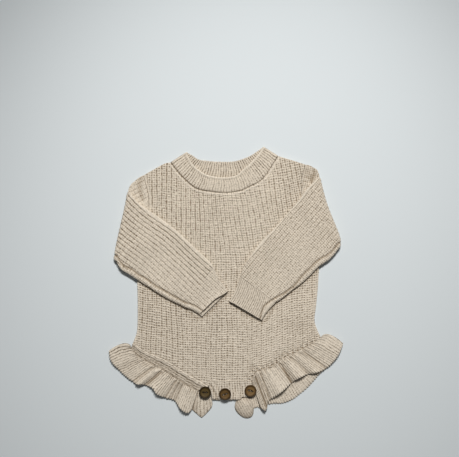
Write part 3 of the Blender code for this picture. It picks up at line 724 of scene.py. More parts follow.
def finish_sleeve(label, groove_line, stitch, ribs, rows, first_groove, roll_depth, middle, behind_ribs,
                  shoulder):
    """Gives a sleeve its ribs, rolled top edge, underarm groove and shoulder creases.

    groove_line is (share along, mm from the low edge) and shoulder (line, width, depth, painted shade) of
    creases.
    """
    outer, inner, places, normals, u, v = SLEEVES[label][:6]
    across, above, to_low = places[:, :, 0], places[:, :, 1], places[:, :, 2]
    visible = ease(above, 0.5, 2.2)
    station = np.arange(outer.shape[0])[:, None] * np.ones(outer.shape[1])
    folded = ease(station, 26, 40)
    along = np.clip((station - BEHIND - ROUND_FOLD) / (ALONG_FRONT - 1), 0, 1)
    groove_at = np.interp(along, *np.array(groove_line).T)
    groove = bell(to_low - groove_at - 0.5 * np.sin(v / 6), 1.5) * visible * folded
    low_roll = (1 - ease(to_low, groove_at - 1.5, groove_at + 0.5)) * folded
    top_roll = (1 - ease(u, first_groove - 1.2, first_groove)) * ease(station, 34, 40)
    near_fold = bell(station - 38, 40) * folded
    near_top = bell(u, 38)
    strength = np.clip(middle + (1.12 - middle) * np.maximum(near_fold, near_top), 0, 1.1)
    rib = ribs * strength * (1 - top_roll) * (1 - 0.5 * low_roll)
    rib = rib * (behind_ribs + (1 - behind_ribs) * ease(station, 24, 32))
    row = (rows * (1.15 - 0.3 * strength) + 0.2 * low_roll
           + 0.35 * (behind_ribs - 0.5) * (1 - ease(station, 24, 32)))
    twist = 0.5 + 0.5 * np.cos(2 * math.pi * (v / 6.2 + to_low / 9))
    # Painted shade in the underarm groove and between the twists of the low roll, which is otherwise painted
    # a little lighter, and a painted highlight on the top roll.
    shade = 0.62 * groove + low_roll * visible * (0.16 * twist - 0.06) - 0.08 * top_roll * visible
    sunk = 1.5 * groove - roll_depth * bell(to_low - 0.5 * groove_at, 0.3 * groove_at) * visible * folded
    sunk = sunk + 0.5 * low_roll * visible * twist
    behind = (1 - ease(above, -2.2, -0.5)) * (station < BEHIND)
    for line, width, depth, dark in shoulder:
        crease = dent(outer[:, :, 0], outer[:, :, 1], line, width) * behind
        sunk = sunk + depth * crease
        shade = shade + dark * crease
    over = outer - sunk[:, :, None] * normals
    knit_piece("sleeve_" + label, (over, inner),
               (u - first_groove, v, np.clip(rib, 0, 1.2), row, shade), stitch, 1.2,
               ("sleeve knit " + label, "body_knit"),
               coarse=4, ring=True, normals=normals)


# Shoulder creases as (line, width, depth, painted shade); a negative depth and shade make a raised fold with
# a painted highlight.
SHOULDER_CREASES_LEFT = [([(-130, 156), (-131, 142), (-127, 126)], 3.6, 1.2, 0.34),
                         ([(-124, 159.6), (-120, 144), (-117, 130), (-116.5, 114.5)], 1.3, 0.8, 0.35),
                         ([(-123, 150), (-121, 138), (-120, 122)], 1.8, -0.6, -0.10),
                         ([(-138, 150), (-140, 138), (-136, 126)], 1.2, 0.6, 0.16)]
SHOULDER_CREASES_RIGHT = [([(115 + 0.8 * k, 169 - 3.6 * k), (122 + 0.6 * k, 167 - 3.6 * k),
                            (129 - 0.2 * k, 160.5 - 3.6 * k)], 0.8, 0.8, 0.34) for k in range(5)]
SHOULDER_CREASES_RIGHT += [([(130, 168), (130.5, 162), (127, 154)], 2.4, 1.0, 0.46)]
finish_sleeve("left", [(0, 9.5), (0.3, 8.5), (0.8, 8.0), (1, 7.5)], (6.05, 3.0, 0.30), 1.0, 0.48, 5.5, 0.9,
              0.50, 0.5, SHOULDER_CREASES_LEFT)
finish_sleeve("right", [(0, 7.5), (0.25, 8.5), (0.5, 9.0), (0.72, 4.0), (0.85, 4.5), (1, 8.0)],
              (6.05, 3.1, 0.8),
              0.66, 0.6, 3.0, 0.7, 0.62, 0.9, SHOULDER_CREASES_RIGHT)

# --------------------
# Cuffs. Short tubes of fine rib sewn to the sleeves' ends. Their open ends show the under layer just
# past the upper one.
# --------------------


def cuff(label, end_top, end_low, groove_at, pull_back, taper, lift, seam_shade):
    """A cuff from the sleeve's seam to its open end, whose upper layer is pull_back mm shorter past taper."""
    seam_top, seam_low, guide, turned = SLEEVES[label][6:]
    end_top, end_low = np.array(end_top, float), np.array(end_low, float)
    axis = (end_top + end_low - seam_top - seam_low) / 2
    axis /= np.linalg.norm(axis)
    stations = []
    for share in np.linspace(0, 1, 65):
        top = (seam_top + 0.03 * axis) * (1 - share) + end_top * share
        low = (seam_low + 0.03 * axis) * (1 - share) + end_low * share
        waist = 1.5 * math.sin(math.pi * share) * (low - top) / np.linalg.norm(low - top)
        plan = np.linspace(top + waist, low - waist, 9)
        stations.append((np.column_stack([plan, np.full(9, SLEEVE_LEVEL + TUBE_DEPTH / 2)]), (0, 0, 1)))
    outer, inner, places = tube_grids(stations, 110, 62, 1)
    normals = ring_normals(outer, 50)
    across, above, to_low = places[:, :, 0], places[:, :, 1], places[:, :, 2]
    share = np.linspace(0, 1, len(stations))[:, None] * np.ones(across.shape[1])
    visible = ease(above, -0.4, 2.2)
    for grid in (outer, inner):
        shift = (pull_back * visible * share * (0.1 + 0.9 * ease(across, 0, taper)))[:, :, None]
        grid[:, :, :2] -= shift * axis
        grid[:, :, 2] += lift * visible * share**3 * ease(across, 0, 9) * ease(to_low, 0, 9)
    length = 38 * share
    groove_here = np.interp(share, [0, 0.45, 1], groove_at)
    groove = bell(to_low - groove_here, 1.3) * ease(above, 0.5, 2.2)
    hem = ease(share, 0.94, 1.0)
    rib = 0.80 * (1 - 0.5 * hem) * (1 - 0.7 * (1 - ease(to_low, groove_here - 2, groove_here)))
    seam = bell(share, 0.035) * (0.6 + 0.4 * np.cos(2 * math.pi * across / 3.4))
    # Painted shade in the groove, along the seam in stitch-like dashes, and inside the open end; the right
    # cuff is a little darker all over.
    shade = 0.55 * groove + seam_shade * seam
    inside = 1 - ease(above, -2.5, -1.5)
    shade = shade + 0.1 * inside + (0.06 if label == "right" else 0.0)
    sunk = 1.3 * groove + 2.5 * seam_shade * seam - 0.45 * bell(to_low - 0.5 * groove_here, 2.5) * visible
    over = outer - sunk[:, :, None] * normals
    if label == "left":
        u, v = sleeve_knit(guide, turned, outer[:, :, 0], outer[:, :, 1])
        u = u - 5.5
        stitch = (6.05, 3.0, 0.75)
        rib = (0.60 * (1 - 0.45 * hem) * ease(u, -1.2, 0)
               * (1 - 0.7 * (1 - ease(to_low, groove_here - 2, groove_here))))
    else:
        u, v, stitch = across + 0.2 * unevenness(across, length, 14, 31), length, (3.1, 2.0, 0.1)
    knit_piece("cuff_" + label, (over, inner), (u, v, rib, np.full(share.shape, 0.2), shade), stitch, 0.8,
               ("rib knit cuff " + label, "rib_knit"),
               ring=True, normals=normals)


cuff("left", (1.8, -11.5), (-37.5, -49.5), (7.5, 7.5, 6.5), 5.4, 26.0, 2.3, 0.0)
cuff("right", (2.9, -26.5), (51.7, -55.5), (7.5, 9.5, 3.5), 0.8, 10.0, 0.5, 0.16)

# --------------------
# Leg bands. Where the frill is sewn on, the seam rolls up into a ridge with a painted highlight, with a
# flat stretch of knit below it on the left, in painted shade, and hardly any on the right.
# --------------------


def leg_band(node, seam, gather, turn, ridge, pucker):
    """The strip from the body's leg edge down to the gathers."""
    columns, rows = 301, 25
    x, y = strip_plan(beside(spaced_line(seam, columns), -turn * SEWN_CLOSE),
                      beside(spaced_line(gather, columns), turn * SEWN_CLOSE), rows)
    t = np.linspace(0, 1, rows)[:, None] * np.ones(columns)
    run = np.linspace(0, 145, columns) * np.ones((rows, 1))
    bumps = 0.5 + 0.5 * np.cos(2 * math.pi * (run + 2.2 * unevenness(run, t, 30, 42)) / 8.5)
    top = (FRONT_LEVEL + CLOTH + ridge * (1.1 * bell(t - 0.22, 0.16) - 0.6 * ease(t, 0.36, 0.52))
           - 0.4 * (1 - ridge) * ease(t, 0.6, 1.0) - pucker * bumps + 0.2 * unevenness(x, y, 14, 45))
    # Painted shade on the flat stretch below the ridge, in the groove at its foot, near the gathers and
    # between the puckers; a painted highlight on the ridge; the rest is random tone.
    shade = (ridge * (0.16 * ease(t, 0.38, 0.5) - 0.13 * bell(t - 0.22, 0.16) + 0.16 * bell(t - 0.46, 0.05))
             + 0.08 * ease(t, 0.85, 1.0) + 0.06 * unevenness(x, y, 10, 46)
             + 0.30 * bumps * (pucker * ease(t, 0.1, 0.6) + ridge * 0.6 * ease(t, 0.75, 1.0)))
    if ridge:
        u, v = run + 1.2 * unevenness(x, y, 15, 41) + 9 * t, 15 * t + 0.6 * unevenness(x, y, 9, 43)
        stitch, rib, row, name = (4.4, 3.4, 0.3), 0.75 + 0.3 * unevenness(x, y, 18, 44), 0.9, "rib knit leg"
    else:
        u, v = front_knit(x, y)
        stitch, rib, row, name = BODY_STITCH, 0.6, 0.7, "body knit"
    rib, row = np.broadcast_to(np.clip(rib, 0, 1), x.shape), np.full(x.shape, row)
    knit_piece(node, (lifted(x, y, top), lifted(x[::4, ::4], y[::4, ::4], FRONT_LEVEL)),
               (u, v, rib, row, shade),
               stitch, 0.9, (name, "rib_knit"), coarse=4)


leg_band("leg_band_left", LEG_SEAM_LEFT, GATHER_LEFT, 1, 1.0, 0.0)
leg_band("leg_band_right", LEG_SEAM_RIGHT, GATHER_RIGHT, -1, 0.0, 0.9)

# --------------------
# Frills. Strips of fine rib, gathered on to the leg openings so that their free edges stand in folds.
# Each has a front half, and a back half that lies on the table and shows past it.
# --------------------
HEM_FRONT_LEFT = [(-176.6, -101), (-174.5, -113), (-168.2, -122.7), (-153.2, -137.6),
                  (-138.3, -148.8), (-126, -151.5), (-111.5, -156), (-104.5, -165), (-91.1, -171.8),
                  (-78.6, -175.5), (-69.5, -187), (-58.7, -193.8), (-53, -189)]
HEM_BACK_LEFT = [(-174, -101.5), (-172.5, -112), (-166.5, -121.5), (-152, -136), (-137, -147),
                 (-124, -146.5), (-108, -151), (-88, -165), (-70, -176), (-60, -182)]
HEM_FRONT_RIGHT = [(173.8, -90), (166.5, -107.1), (155.7, -121), (145.7, -128.5), (132.9, -133.4),
                   (116.6, -137.1), (103.5, -143.5), (86.6, -157), (72, -168.5), (61.5, -177),
                   (60, -185.5), (56, -190), (50, -184.5)]
HEM_BACK_RIGHT = [(170.8, -91.5), (163.5, -109), (152, -125), (140, -135), (123.8, -153.5),
                  (109.2, -166.2), (96.6, -175.2), (83, -180), (69.3, -180.5), (57, -183.5),
                  (52, -188.5), (45.6, -186), (37.5, -189)]
FOLDS_LEFT = [(0.10, 2.0, 0.10), (0.42, 5.5, 0.035), (0.60, 6.0, 0.07), (0.90, 5.0, 0.07)]
FOLDS_RIGHT = [(0.10, 2.5, 0.10), (0.36, 5.0, 0.07), (0.52, 6.5, 0.06), (0.72, 7.5, 0.09),
               (0.95, 5.0, 0.08)]


def frill(node, gather, hem, level, folds, creases, hip_bow, ribs, pitch, seed):
    """Half of a frill. folds are (share along, height, width), and creases (share, depth, width, painted
    shade, slope), where a negative shade is a painted highlight.
    """
    columns, rows = 341, 57
    x, y = strip_plan(even_points(gather, columns), spaced_line(hem, columns), rows)
    t = np.linspace(0, 1, rows)[:, None] * np.ones(columns)
    share = np.linspace(0, 1, columns) * np.ones((rows, 1))
    near_hip = np.clip(1 - share / 0.2, 0, 1) ** 1.5
    y = y + hip_bow * 2.6 * np.sqrt(t) * (1 - t) * near_hip
    rise = np.zeros(t.shape)
    for place, height, width in folds:
        rise += height * bell(share - place, width)
    rise *= t**1.3
    shade = np.zeros(t.shape)
    sunk = np.zeros(t.shape)
    for place, depth, width, dark, slope in creases:
        line = bell(share - place - slope * (t - 0.5), width) * ease(t, 0.02, 0.15)
        sunk += depth * line
        shade += dark * line
    puckers = np.sin(2 * math.pi * (share * ribs / 2.4 + 0.7 * unevenness(share * 40, t, 9, seed)))
    rise += 0.7 * (1 + puckers) * bell(t - 0.12, 0.16)
    wander = 0.9 * unevenness(share * 60, t * 12, 14, seed + 2) * ease(t, 0, 0.6)
    u = share * ribs * pitch + 0.45 * unevenness(x, y, 16, seed) + wander
    v = t * 40 + 0.5 * unevenness(x, y, 25, seed + 1)
    scallop = 0.45 * np.cos(2 * math.pi * u / pitch) * ease(t, 0.9, 1.0)
    way = np.stack([x[-1] - x[0], y[-1] - y[0]], axis=1)
    way /= np.linalg.norm(way, axis=1, keepdims=True)
    x, y = x - scallop * way[:, 0], y - scallop * way[:, 1]
    top = level + CLOTH + rise - 0.4 * (1 - ease(t, 0, 0.08)) - 0.8 * ease(t, 0.95, 1.0)
    low = level + rise
    top = np.maximum(top - sunk, low + 0.6)
    # Painted shade between the puckers along the gather; the front halves are painted a little lighter, and
    # the back halves get a painted shadow near the gather, under the front halves.
    shade = (shade + 0.32 * (0.5 - 0.5 * puckers) * (1 - ease(t, 0.02, 0.24))
             + 0.03 * unevenness(x, y, 30, seed + 3))
    shade = shade + (-0.05 if level else 0.18 * (1 - ease(t, 0.35, 0.85)))
    rib = 0.7 + 0.3 * unevenness(share * 300, t, 40, seed + 4) + 0.25 * near_hip
    knit_piece(node, (lifted(x, y, top), lifted(x, y, low)[::2, ::2]),
               (u, v, np.clip(rib, 0.3, 1.2), np.full(t.shape, 0.3), np.clip(shade, -0.1, 1)),
               (pitch, 2.2, 0.1), 0.9, ("rib knit frill %.1f" % pitch, "rib_knit"),
               coarse=2)


gather_left, gather_right = spaced_line(GATHER_LEFT, 40), spaced_line(GATHER_RIGHT, 40)
frill("ruffle_back_left", beside(spaced_line(GATHER_LEFT[:-1], 40), -1.0), HEM_BACK_LEFT, 0.0, [], [], 7.0,
      38, 3.9, 51)
gather_back_right = spaced_line([*GATHER_RIGHT[:-1], (34, -150)], 40)
frill("ruffle_back_right", beside(gather_back_right, 1.0), HEM_BACK_RIGHT, 0.0, [], [], 8.0,
      44, 5.0, 52)
frill("ruffle_front_left", beside(gather_left, -SEWN_CLOSE), HEM_FRONT_LEFT, FRONT_LEVEL, FOLDS_LEFT,
      [(0.490, 1.9, 0.018, 0.62, -0.01), (0.43, -0.8, 0.030, -0.10, -0.01), (0.70, 1.3, 0.016, 0.34, 0.0),
       (0.745, 1.3, 0.016, 0.38, 0.0), (0.79, 1.2, 0.016, 0.34, 0.0), (0.375, 1.4, 0.018, 0.34, -0.01),
       (0.56, -0.5, 0.035, -0.08, 0.0), (0.20, 0.8, 0.03, 0.12, 0.0), (0.90, -0.5, 0.05, -0.08, 0.0)], 8.0,
      44, 3.8, 53)
frill("ruffle_front_right", beside(gather_right, SEWN_CLOSE), HEM_FRONT_RIGHT, FRONT_LEVEL, FOLDS_RIGHT,
      [(0.585, 2.2, 0.012, 0.75, 0.03), (0.560, 1.0, 0.02, 0.22, 0.03), (0.27, 1.8, 0.011, 0.42, 0.0),
       (0.31, 1.0, 0.03, 0.18, 0.0), (0.43, 1.2, 0.026, 0.27, 0.0), (0.49, -0.6, 0.03, -0.10, 0.0),
       (0.83, 1.6, 0.010, 0.50, 0.02), (0.865, 1.2, 0.009, 0.40, 0.02), (0.905, 2.0, 0.014, 0.85, 0.02),
       (0.95, 0.5, 0.03, 0.16, 0.0),
       (0.72, -0.5, 0.06, -0.12, 0.0), (0.65, -0.4, 0.03, -0.10, 0.0), (0.13, -0.4, 0.08, -0.06, 0.0)], 9.0,
      46, 3.8, 54)

# --------------------
# Ends of the back frill halves. On the left a flat tab of rib comes out under the button, and on the
# right the end is bunched into a round puff.
# --------------------


def frill_end(node, start, hem, dome, ribs, slant, seed):
    """A short end of frill from the crotch band to its hem, raised by dome mm over its middle."""
    columns, rows = 61, 61
    x, y = strip_plan(spaced_line(start, columns), spaced_line(hem, columns), rows)
    t = np.linspace(0, 1, rows)[:, None] * np.ones(columns)
    share = np.linspace(0, 1, columns) * np.ones((rows, 1))
    middle = (4 * share * (1 - share)) ** 0.6 * ease(t, -0.1, 0.35) * (1 - t**4)
    rise = dome * middle
    u = (1 - slant) * share * ribs * 3.6 + slant * (0.87 * x + 0.5 * y) + 0.3 * unevenness(x, y, 12, seed)
    edge = (1 - ease(share, 0, 0.06)) + ease(share, 0.94, 1) + ease(t, 0.94, 1)
    top = CLOTH + rise - 0.9 * np.clip(edge, 0, 1)
    low = np.maximum(rise - 0.2, 0)
    # Painted shade near the hem and the start, painted shade over the puff that is deepest at its sides, and
    # on the tab a painted shadow near its left end, under the front frill's last lobe.
    shade = 0.12 * ease(t, 0.75, 1.0) + 0.1 * (1 - ease(t, 0, 0.2)) + slant * (0.10 + 0.22 * (1 - middle))
    shade = shade + (1 - slant) * 0.45 * (1 - ease(share, 0.05, 0.38))
    knit_piece(node, (lifted(x, y, top), lifted(x, y, low)[::2, ::2]),
               (u, 36 * t, np.full(t.shape, 0.7 - 0.25 * slant), np.full(t.shape, 0.3), shade),
               (3.6, 2.6, 0.1), 0.8,
               ("rib knit frill end", "rib_knit"), coarse=2)


frill_end("ruffle_tab_left", [(-50, -162), (-26.4, -157)],
          [(-57, -186.5), (-46, -195.3), (-39.2, -201), (-34.8, -199.2), (-24.4, -188.3), (-21.4, -181.2)],
          0.6, 7, 0, 61)
frill_end("ruffle_puff_right", [(23.7, -170.9), (37.3, -171.8)],
          [(12.7, -178), (11.5, -186.3), (14.8, -193.5), (21.8, -200), (29, -202.6), (36.1, -201),
           (39.5, -195.6), (40, -188.4), (38.5, -178)],
          4.6, 9, 1, 62)

# --------------------
# Crotch band. A ribbed band across the bottom of the front, with a wavy lower edge, buttoned over the
# back's band, which it hides.
# --------------------


# Creases across the crotch band as (line, width, depth, painted shade).
CROTCH_CREASES = [([(-25, -152), (-20, -160), (-16, -170), (-14, -176)], 1.5, 1.0, 0.40),
                  ([(-17, -150), (-13, -160), (-10, -168)], 1.3, 0.5, 0.20),
                  ([(13, -150), (11, -162), (9, -172)], 1.2, 0.5, 0.20),
                  ([(20, -152), (22, -162), (19, -172)], 1.3, 0.6, 0.24),
                  ([(3, -149), (2, -156)], 1.2, 0.4, 0.14)]


def crotch_band(node, left, right, low, high, level, columns, rows):
    """One of the two bands, with its ribs upright."""
    x, y = panel_plan(edge_x(left), edge_x(right), low, high, columns, rows)
    side, end = margins(x, y)
    top = level + CLOTH - 0.8 * (1 - ease(side, 0, 1.6)) - 0.9 * (1 - ease(y - CROTCH_HEM, 0, 2.5))
    top = top + 0.25 * unevenness(x, y, 20, 71)
    pulled = 0.10 * (y - CROTCH_TOP) * np.sin(x / 14)
    # Painted shade along the hem.
    shade = 0.14 * bell(y - CROTCH_HEM, 3.0)
    into_rib = ease(CROTCH_TOP - y, 0, 9)
    for line, width, depth, dark in CROTCH_CREASES:
        crease = dent(x, y, line, width)
        top = top - depth * crease
        shade = shade + dark * crease
    knit_piece(node, (lifted(x, y, top), lifted(x, y, level)[::2, ::2]),
               (front_knit(x, y)[0] + pulled * into_rib + 0.4 * unevenness(x, y, 15, 72), front_knit(x, y)[1],
                0.55 + 0.25 * into_rib, 0.7 - 0.5 * into_rib, shade), (3.75, 3.5, 0.1), 0.9,
               ("rib knit crotch", "rib_knit"),
               coarse=2)


def front_hem(x):
    """The front band's lower edge, wavy with its ribs, and shorter past the right button."""
    wavy = CROTCH_HEM + 0.3 + 0.6 * np.cos(2 * math.pi * x / 9.2)
    return wavy + (-169.7 - wavy) * ease(x, 20.5, 22.5)


crotch_band("crotch_band_back", [(-20, CROTCH_HEM + 3.2), (-22.3, CROTCH_TOP - 1.8)],
            [(14, CROTCH_HEM + 3.2), (26.8, CROTCH_TOP - 1.8)],
            lambda x: CROTCH_HEM + 3.2 + 0 * x, lambda x: CROTCH_TOP - 1.8 + 0 * x, 0.0, 61, 41)
crotch_band("crotch_band_front", [(-21.6, CROTCH_HEM), (-26.95, CROTCH_TOP - 7.7), (-24.9, CROTCH_TOP + 0.3)],
            [(37.2, CROTCH_HEM), (37.2, -150), (29.3, CROTCH_TOP + 0.3)], front_hem,
            lambda x: CROTCH_TOP + 0.22 - 3.2 * ease(x, 29, 38), FRONT_LEVEL, 121, 61)

# --------------------
# Buttons. Three turned wooden buttons with a raised rim, a dished face and two holes, sewn on with
# cotton thread.
# --------------------
HOLE_RADIUS, HOLE_SPACING = 1.25, 4.6
THREAD_REACH = 0.54
BUTTON_PROFILE = [(0.0, 1.7), (3.5, 1.75), (5.8, 2.1), (6.9, 2.9), (7.6, 3.5), (8.1, 3.6), (8.6, 3.3),
                  (8.95, 2.6), (9.0, 2.0), (8.8, 1.1), (8.2, 0.4), (7.4, 0.05), (6.5, 0.0), (0.0, 0.0)]


def wood_group():
    """The shader group of the buttons: fibres and spots of wood grain, darker towards the rim, with painted
    shade in rings round the holes.
    """
    tree = bpy.data.node_groups.new("turned wood", "ShaderNodeTree")
    for label in ("Light Wood", "Dark Wood"):
        tree.interface.new_socket(label, in_out="INPUT", socket_type="NodeSocketColor")
    tree.interface.new_socket("Color", in_out="OUTPUT", socket_type="NodeSocketColor")
    tree.interface.new_socket("Height", in_out="OUTPUT", socket_type="NodeSocketFloat")
    given = add_node(tree, "NodeGroupInput").outputs
    result = add_node(tree, "NodeGroupOutput").inputs
    place = add_node(tree, "ShaderNodeTexCoord").outputs["Object"]
    stretch = add_node(tree, "ShaderNodeMapping")
    stretch.inputs["Scale"].default_value = (1.0, 0.22, 1.0)
    stretch.inputs["Rotation"].default_value = (0, 0, 0.5)
    tree.links.new(place, stretch.inputs["Vector"])
    fibres = fine_noise(tree, stretch.outputs[0], 0.0011, 5.0)
    spots = fine_noise(tree, place, 0.005, 2.0)
    grain = maths(tree, "MULTIPLY_ADD", fibres, 0.7, maths(tree, "MULTIPLY", spots, 0.4))
    grain = maths(tree, "SUBTRACT", grain, 0.12)
    rim = add_node(tree, "ShaderNodeAttribute", attribute_name="rim").outputs["Fac"]
    dark = maths(tree, "ADD", grain, rim)
    dark.node.use_clamp = True
    mix = add_node(tree, "ShaderNodeMix", data_type="RGBA")
    tree.links.new(dark, mix.inputs["Factor"])
    tree.links.new(given["Light Wood"], mix.inputs["A"])
    tree.links.new(given["Dark Wood"], mix.inputs["B"])
    tree.links.new(mix.outputs["Result"], result["Color"])
    tree.links.new(fibres, result["Height"])
    return tree


WOOD = wood_group()


def wood_material(name, light, dark):
    """Oiled brown wood."""
    made = bpy.data.materials.new(name)
    made.use_nodes = True
    tree = made.node_tree
    shader = tree.nodes["Principled BSDF"]
    shader.inputs["Roughness"].default_value = 0.6
    shader.inputs["Specular IOR Level"].default_value = 0.16
    group = add_node(tree, "ShaderNodeGroup", node_tree=WOOD)
    group.inputs["Light Wood"].default_value = (*light, 1)
    group.inputs["Dark Wood"].default_value = (*dark, 1)
    bump = add_node(tree, "ShaderNodeBump")
    bump.inputs["Strength"].default_value = 0.35
    bump.inputs["Distance"].default_value = 0.0003
    tree.links.new(group.outputs["Color"], shader.inputs["Base Color"])
    tree.links.new(group.outputs["Height"], bump.inputs["Height"])
    tree.links.new(bump.outputs["Normal"], shader.inputs["Normal"])
    return made


def thread_material(name, dark, light):
    """Twisted cotton."""
    made = bpy.data.materials.new(name)
    made.use_nodes = True
    tree = made.node_tree
    shader = tree.nodes["Principled BSDF"]
    shader.inputs["Roughness"].default_value = 0.9
    place = add_node(tree, "ShaderNodeTexCoord").outputs["Object"]
    ramp = add_node(tree, "ShaderNodeValToRGB")
    ramp.color_ramp.elements[0].color = (*dark, 1)
    ramp.color_ramp.elements[1].color = (*light, 1)
    tree.links.new(fine_noise(tree, place, 0.0006, 2.0), ramp.inputs["Fac"])
    tree.links.new(ramp.outputs["Color"], shader.inputs["Base Color"])
    return made


BROWN_THREAD = thread_material("brown button thread", (0.045, 0.030, 0.014), (0.10, 0.070, 0.032))
PALE_THREAD = thread_material("pale button thread", (0.30, 0.23, 0.14), (0.55, 0.46, 0.32))


def turned_button(node, turn, light, dark, cotton):
    """A button where the frame has it, turned from its profile, drilled twice and given its thread."""
    low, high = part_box(node)
    centre = ((low.x + high.x) / 2, (low.y + high.y) / 2, low.z)
    bpy.ops.mesh.primitive_circle_add(vertices=64, radius=BUTTON_PROFILE[1][0] * MM, fill_type="NGON",
                                      location=(centre[0], centre[1], centre[2] + BUTTON_PROFILE[1][1] * MM))
    button = bpy.context.object
    button.name = node + "_wood"
    bpy.ops.object.transform_apply(location=True, rotation=True, scale=True)
    bpy.ops.object.mode_set(mode="EDIT")
    bpy.ops.mesh.select_all(action="SELECT")
    bpy.ops.mesh.inset(thickness=BUTTON_PROFILE[1][0] * MM * 0.4)
    bpy.ops.mesh.select_mode(type="EDGE")
    bpy.ops.object.mode_set(mode="OBJECT")
    for (radius, height), (next_radius, next_height) in zip(BUTTON_PROFILE[1:-2], BUTTON_PROFILE[2:-1]):
        for edge in button.data.edges:
            ends = [button.data.vertices[k].co for k in edge.vertices]
            edge.select = all(
                abs(math.hypot(p.x - centre[0], p.y - centre[1]) - radius * MM) < 1e-5
                and abs(p.z - centre[2] - height * MM) < 1e-5 for p in ends)
        bpy.ops.object.mode_set(mode="EDIT")
        grow = next_radius / radius
        bpy.ops.mesh.extrude_edges_move(TRANSFORM_OT_translate={
            "value": (0, 0, (next_height - height) * MM), "orient_type": "GLOBAL"})
        bpy.ops.transform.resize(value=(grow, grow, 1), center_override=centre)
        bpy.ops.object.mode_set(mode="OBJECT")
    bpy.ops.object.mode_set(mode="EDIT")
    bpy.ops.mesh.edge_face_add()
    bpy.ops.mesh.select_all(action="SELECT")
    bpy.ops.mesh.remove_doubles(threshold=1e-6)
    bpy.ops.mesh.normals_make_consistent(inside=False)
    bpy.ops.object.mode_set(mode="OBJECT")
    angle = math.radians(turn)
    holes = []
    for side in (-1, 1):
        reach = side * HOLE_SPACING / 2 * MM
        holes.append((centre[0] + reach * math.cos(angle), centre[1] + reach * math.sin(angle)))
        bpy.ops.mesh.primitive_cylinder_add(vertices=24, radius=HOLE_RADIUS * MM, depth=12 * MM,
                                            location=(*holes[-1], centre[2]))
        drill = bpy.context.object
        cut = button.modifiers.new("hole", "BOOLEAN")
        cut.object = drill
        bpy.context.view_layer.objects.active = button
        bpy.ops.object.modifier_apply(modifier=cut.name)
        bpy.data.objects.remove(drill, do_unlink=True)
    soft = button.modifiers.new("worn edge", "BEVEL")
    soft.width = 0.12 * MM
    soft.segments = 2
    soft.limit_method = "ANGLE"
    soft.angle_limit = math.radians(50)
    bpy.ops.object.modifier_apply(modifier=soft.name)
    bpy.ops.object.select_all(action="DESELECT")
    button.select_set(True)
    bpy.ops.object.shade_smooth_by_angle(angle=math.radians(40))
    attribute = button.data.attributes.new("rim", "FLOAT", "POINT")
    for vertex, value in zip(button.data.vertices, attribute.data):
        radius = math.hypot(vertex.co.x - centre[0], vertex.co.y - centre[1]) / MM
        to_hole = min(math.hypot(vertex.co.x - px, vertex.co.y - py) for px, py in holes) / MM
        # Darker towards the outer rim, and painted shade in rings round the holes.
        value.value = 0.5 * float(ease(radius, 5.6, 7.2)) + 0.9 * float(1 - ease(to_hole, 1.1, 1.6))
    button.data.materials.clear()
    button.data.materials.append(wood_material(node + " wood", light, dark))
    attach(button, "root")
    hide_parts(node)
    stitch = bpy.data.curves.new(node + "_thread", "CURVE")
    stitch.dimensions = "3D"
    stitch.bevel_depth = 0.14 * MM
    stitch.bevel_resolution = 3
    floor_of_dish = centre[2] + BUTTON_PROFILE[0][1] * MM
    for offset in (-0.16, 0.16):
        spline = stitch.splines.new("POLY")
        route = []
        for k in range(13):
            share = k / 12
            arch = math.sin(math.pi * share)
            reach = THREAD_REACH * (share - 0.5) * HOLE_SPACING * MM
            px = centre[0] + reach * math.cos(angle) - offset * MM * math.sin(angle)
            py = centre[1] + reach * math.sin(angle) + offset * MM * math.cos(angle)
            route.append((px, py, floor_of_dish + (-1.1 + 1.3 * arch**0.35) * MM, 1))
        spline.points.add(len(route) - 1)
        for point, at in zip(spline.points, route):
            point.co = at
    stitch.use_fill_caps = True
    thread = bpy.data.objects.new(node + "_thread", stitch)
    bpy.context.scene.collection.objects.link(thread)
    bpy.ops.object.select_all(action="DESELECT")
    thread.select_set(True)
    bpy.context.view_layer.objects.active = thread
    bpy.ops.object.convert(target="MESH")
    bpy.ops.object.select_all(action="DESELECT")
    thread.data.materials.append(cotton)
    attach(thread, "root")


for node, turn, light, dark in (("button_left", -2, (0.158, 0.106, 0.037), (0.028, 0.017, 0.006)),
                                ("button_middle", 20, (0.225, 0.130, 0.042), (0.042, 0.023, 0.008)),
                                ("button_right", -17, (0.300, 0.180, 0.070), (0.068, 0.039, 0.015))):
    turned_button(node, turn, light, dark, PALE_THREAD if node == "button_right" else BROWN_THREAD)

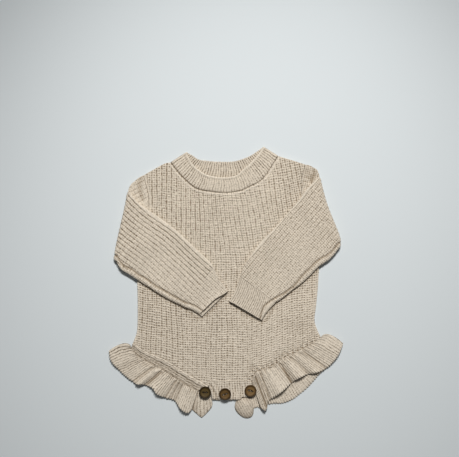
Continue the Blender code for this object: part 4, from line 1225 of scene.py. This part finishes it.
# --------------------
# Surface, light and camera. A pale smooth table, a soft window-like light from beyond the neck, and
# a camera straight above.
# --------------------
bpy.ops.mesh.primitive_plane_add(size=6, location=(0, 0, -0.0002))
table = bpy.context.object
table.name = "floor"
bpy.ops.object.transform_apply(location=True, rotation=True, scale=True)
pale = bpy.data.materials.new("pale table")
pale.use_nodes = True
pale_shader = pale.node_tree.nodes["Principled BSDF"]
pale_shader.inputs["Base Color"].default_value = (0.70, 0.742, 0.757, 1)
pale_shader.inputs["Roughness"].default_value = 0.75
pale_shader.inputs["Specular IOR Level"].default_value = 0.2
table.data.materials.append(pale)

VIEW_MIDDLE = (GARMENT_PLACE[:2] + [3.75, 81.75]) * MM
VIEW_WIDTH = 688.5 * MM
CAMERA_HEIGHT = 1.3
lens = bpy.data.cameras.new("camera")
lens.sensor_width = 36
lens.lens = 36 * CAMERA_HEIGHT / VIEW_WIDTH
camera = bpy.data.objects.new("camera", lens)
camera.location = (VIEW_MIDDLE[0], VIEW_MIDDLE[1], CAMERA_HEIGHT)
bpy.context.scene.collection.objects.link(camera)
bpy.context.scene.camera = camera


def lamp(name, kind, place, aim, power):
    """A warm white light at a place, turned to shine at a point, as its light data."""
    made = bpy.data.lights.new(name, kind)
    made.energy = power
    made.color = (1.0, 0.995, 0.985)
    holder = bpy.data.objects.new(name, made)
    holder.location = place
    aim_x, aim_y, aim_z = (aim[k] - place[k] for k in range(3))
    holder.rotation_euler = (math.atan2(math.hypot(aim_x, aim_y), -aim_z), 0, math.atan2(-aim_x, aim_y))
    bpy.context.scene.collection.objects.link(holder)
    return made


window = lamp("window", "SPOT", (0.10, 0.86, 1.28), (0.045, 0.05, 0.0), 61.0)
window.shadow_soft_size = 0.11
window.spot_size = math.radians(52)
window.spot_blend = 1.0
daylight = lamp("daylight", "SUN", (0.10, 0.86, 1.28), (0.04, 0.0, 0.0), 1.04)
daylight.angle = math.radians(8)
ceiling = lamp("ceiling", "AREA", (0.05, -0.10, 0.60), (0.04, -0.10, 0.0), 0.08)
ceiling.shape = "DISK"
ceiling.size = 0.30
world = bpy.data.worlds.new("soft room")
world.use_nodes = True
room = world.node_tree
room.nodes["Background"].inputs["Color"].default_value = (0.97, 0.99, 1.0, 1)
seen = add_node(room, "ShaderNodeLightPath").outputs["Is Camera Ray"]
room.links.new(maths(room, "MULTIPLY_ADD", seen, 0.42, 0.08), room.nodes["Background"].inputs["Strength"])
bpy.context.scene.world = world
bpy.context.scene.view_settings.view_transform = "Standard"
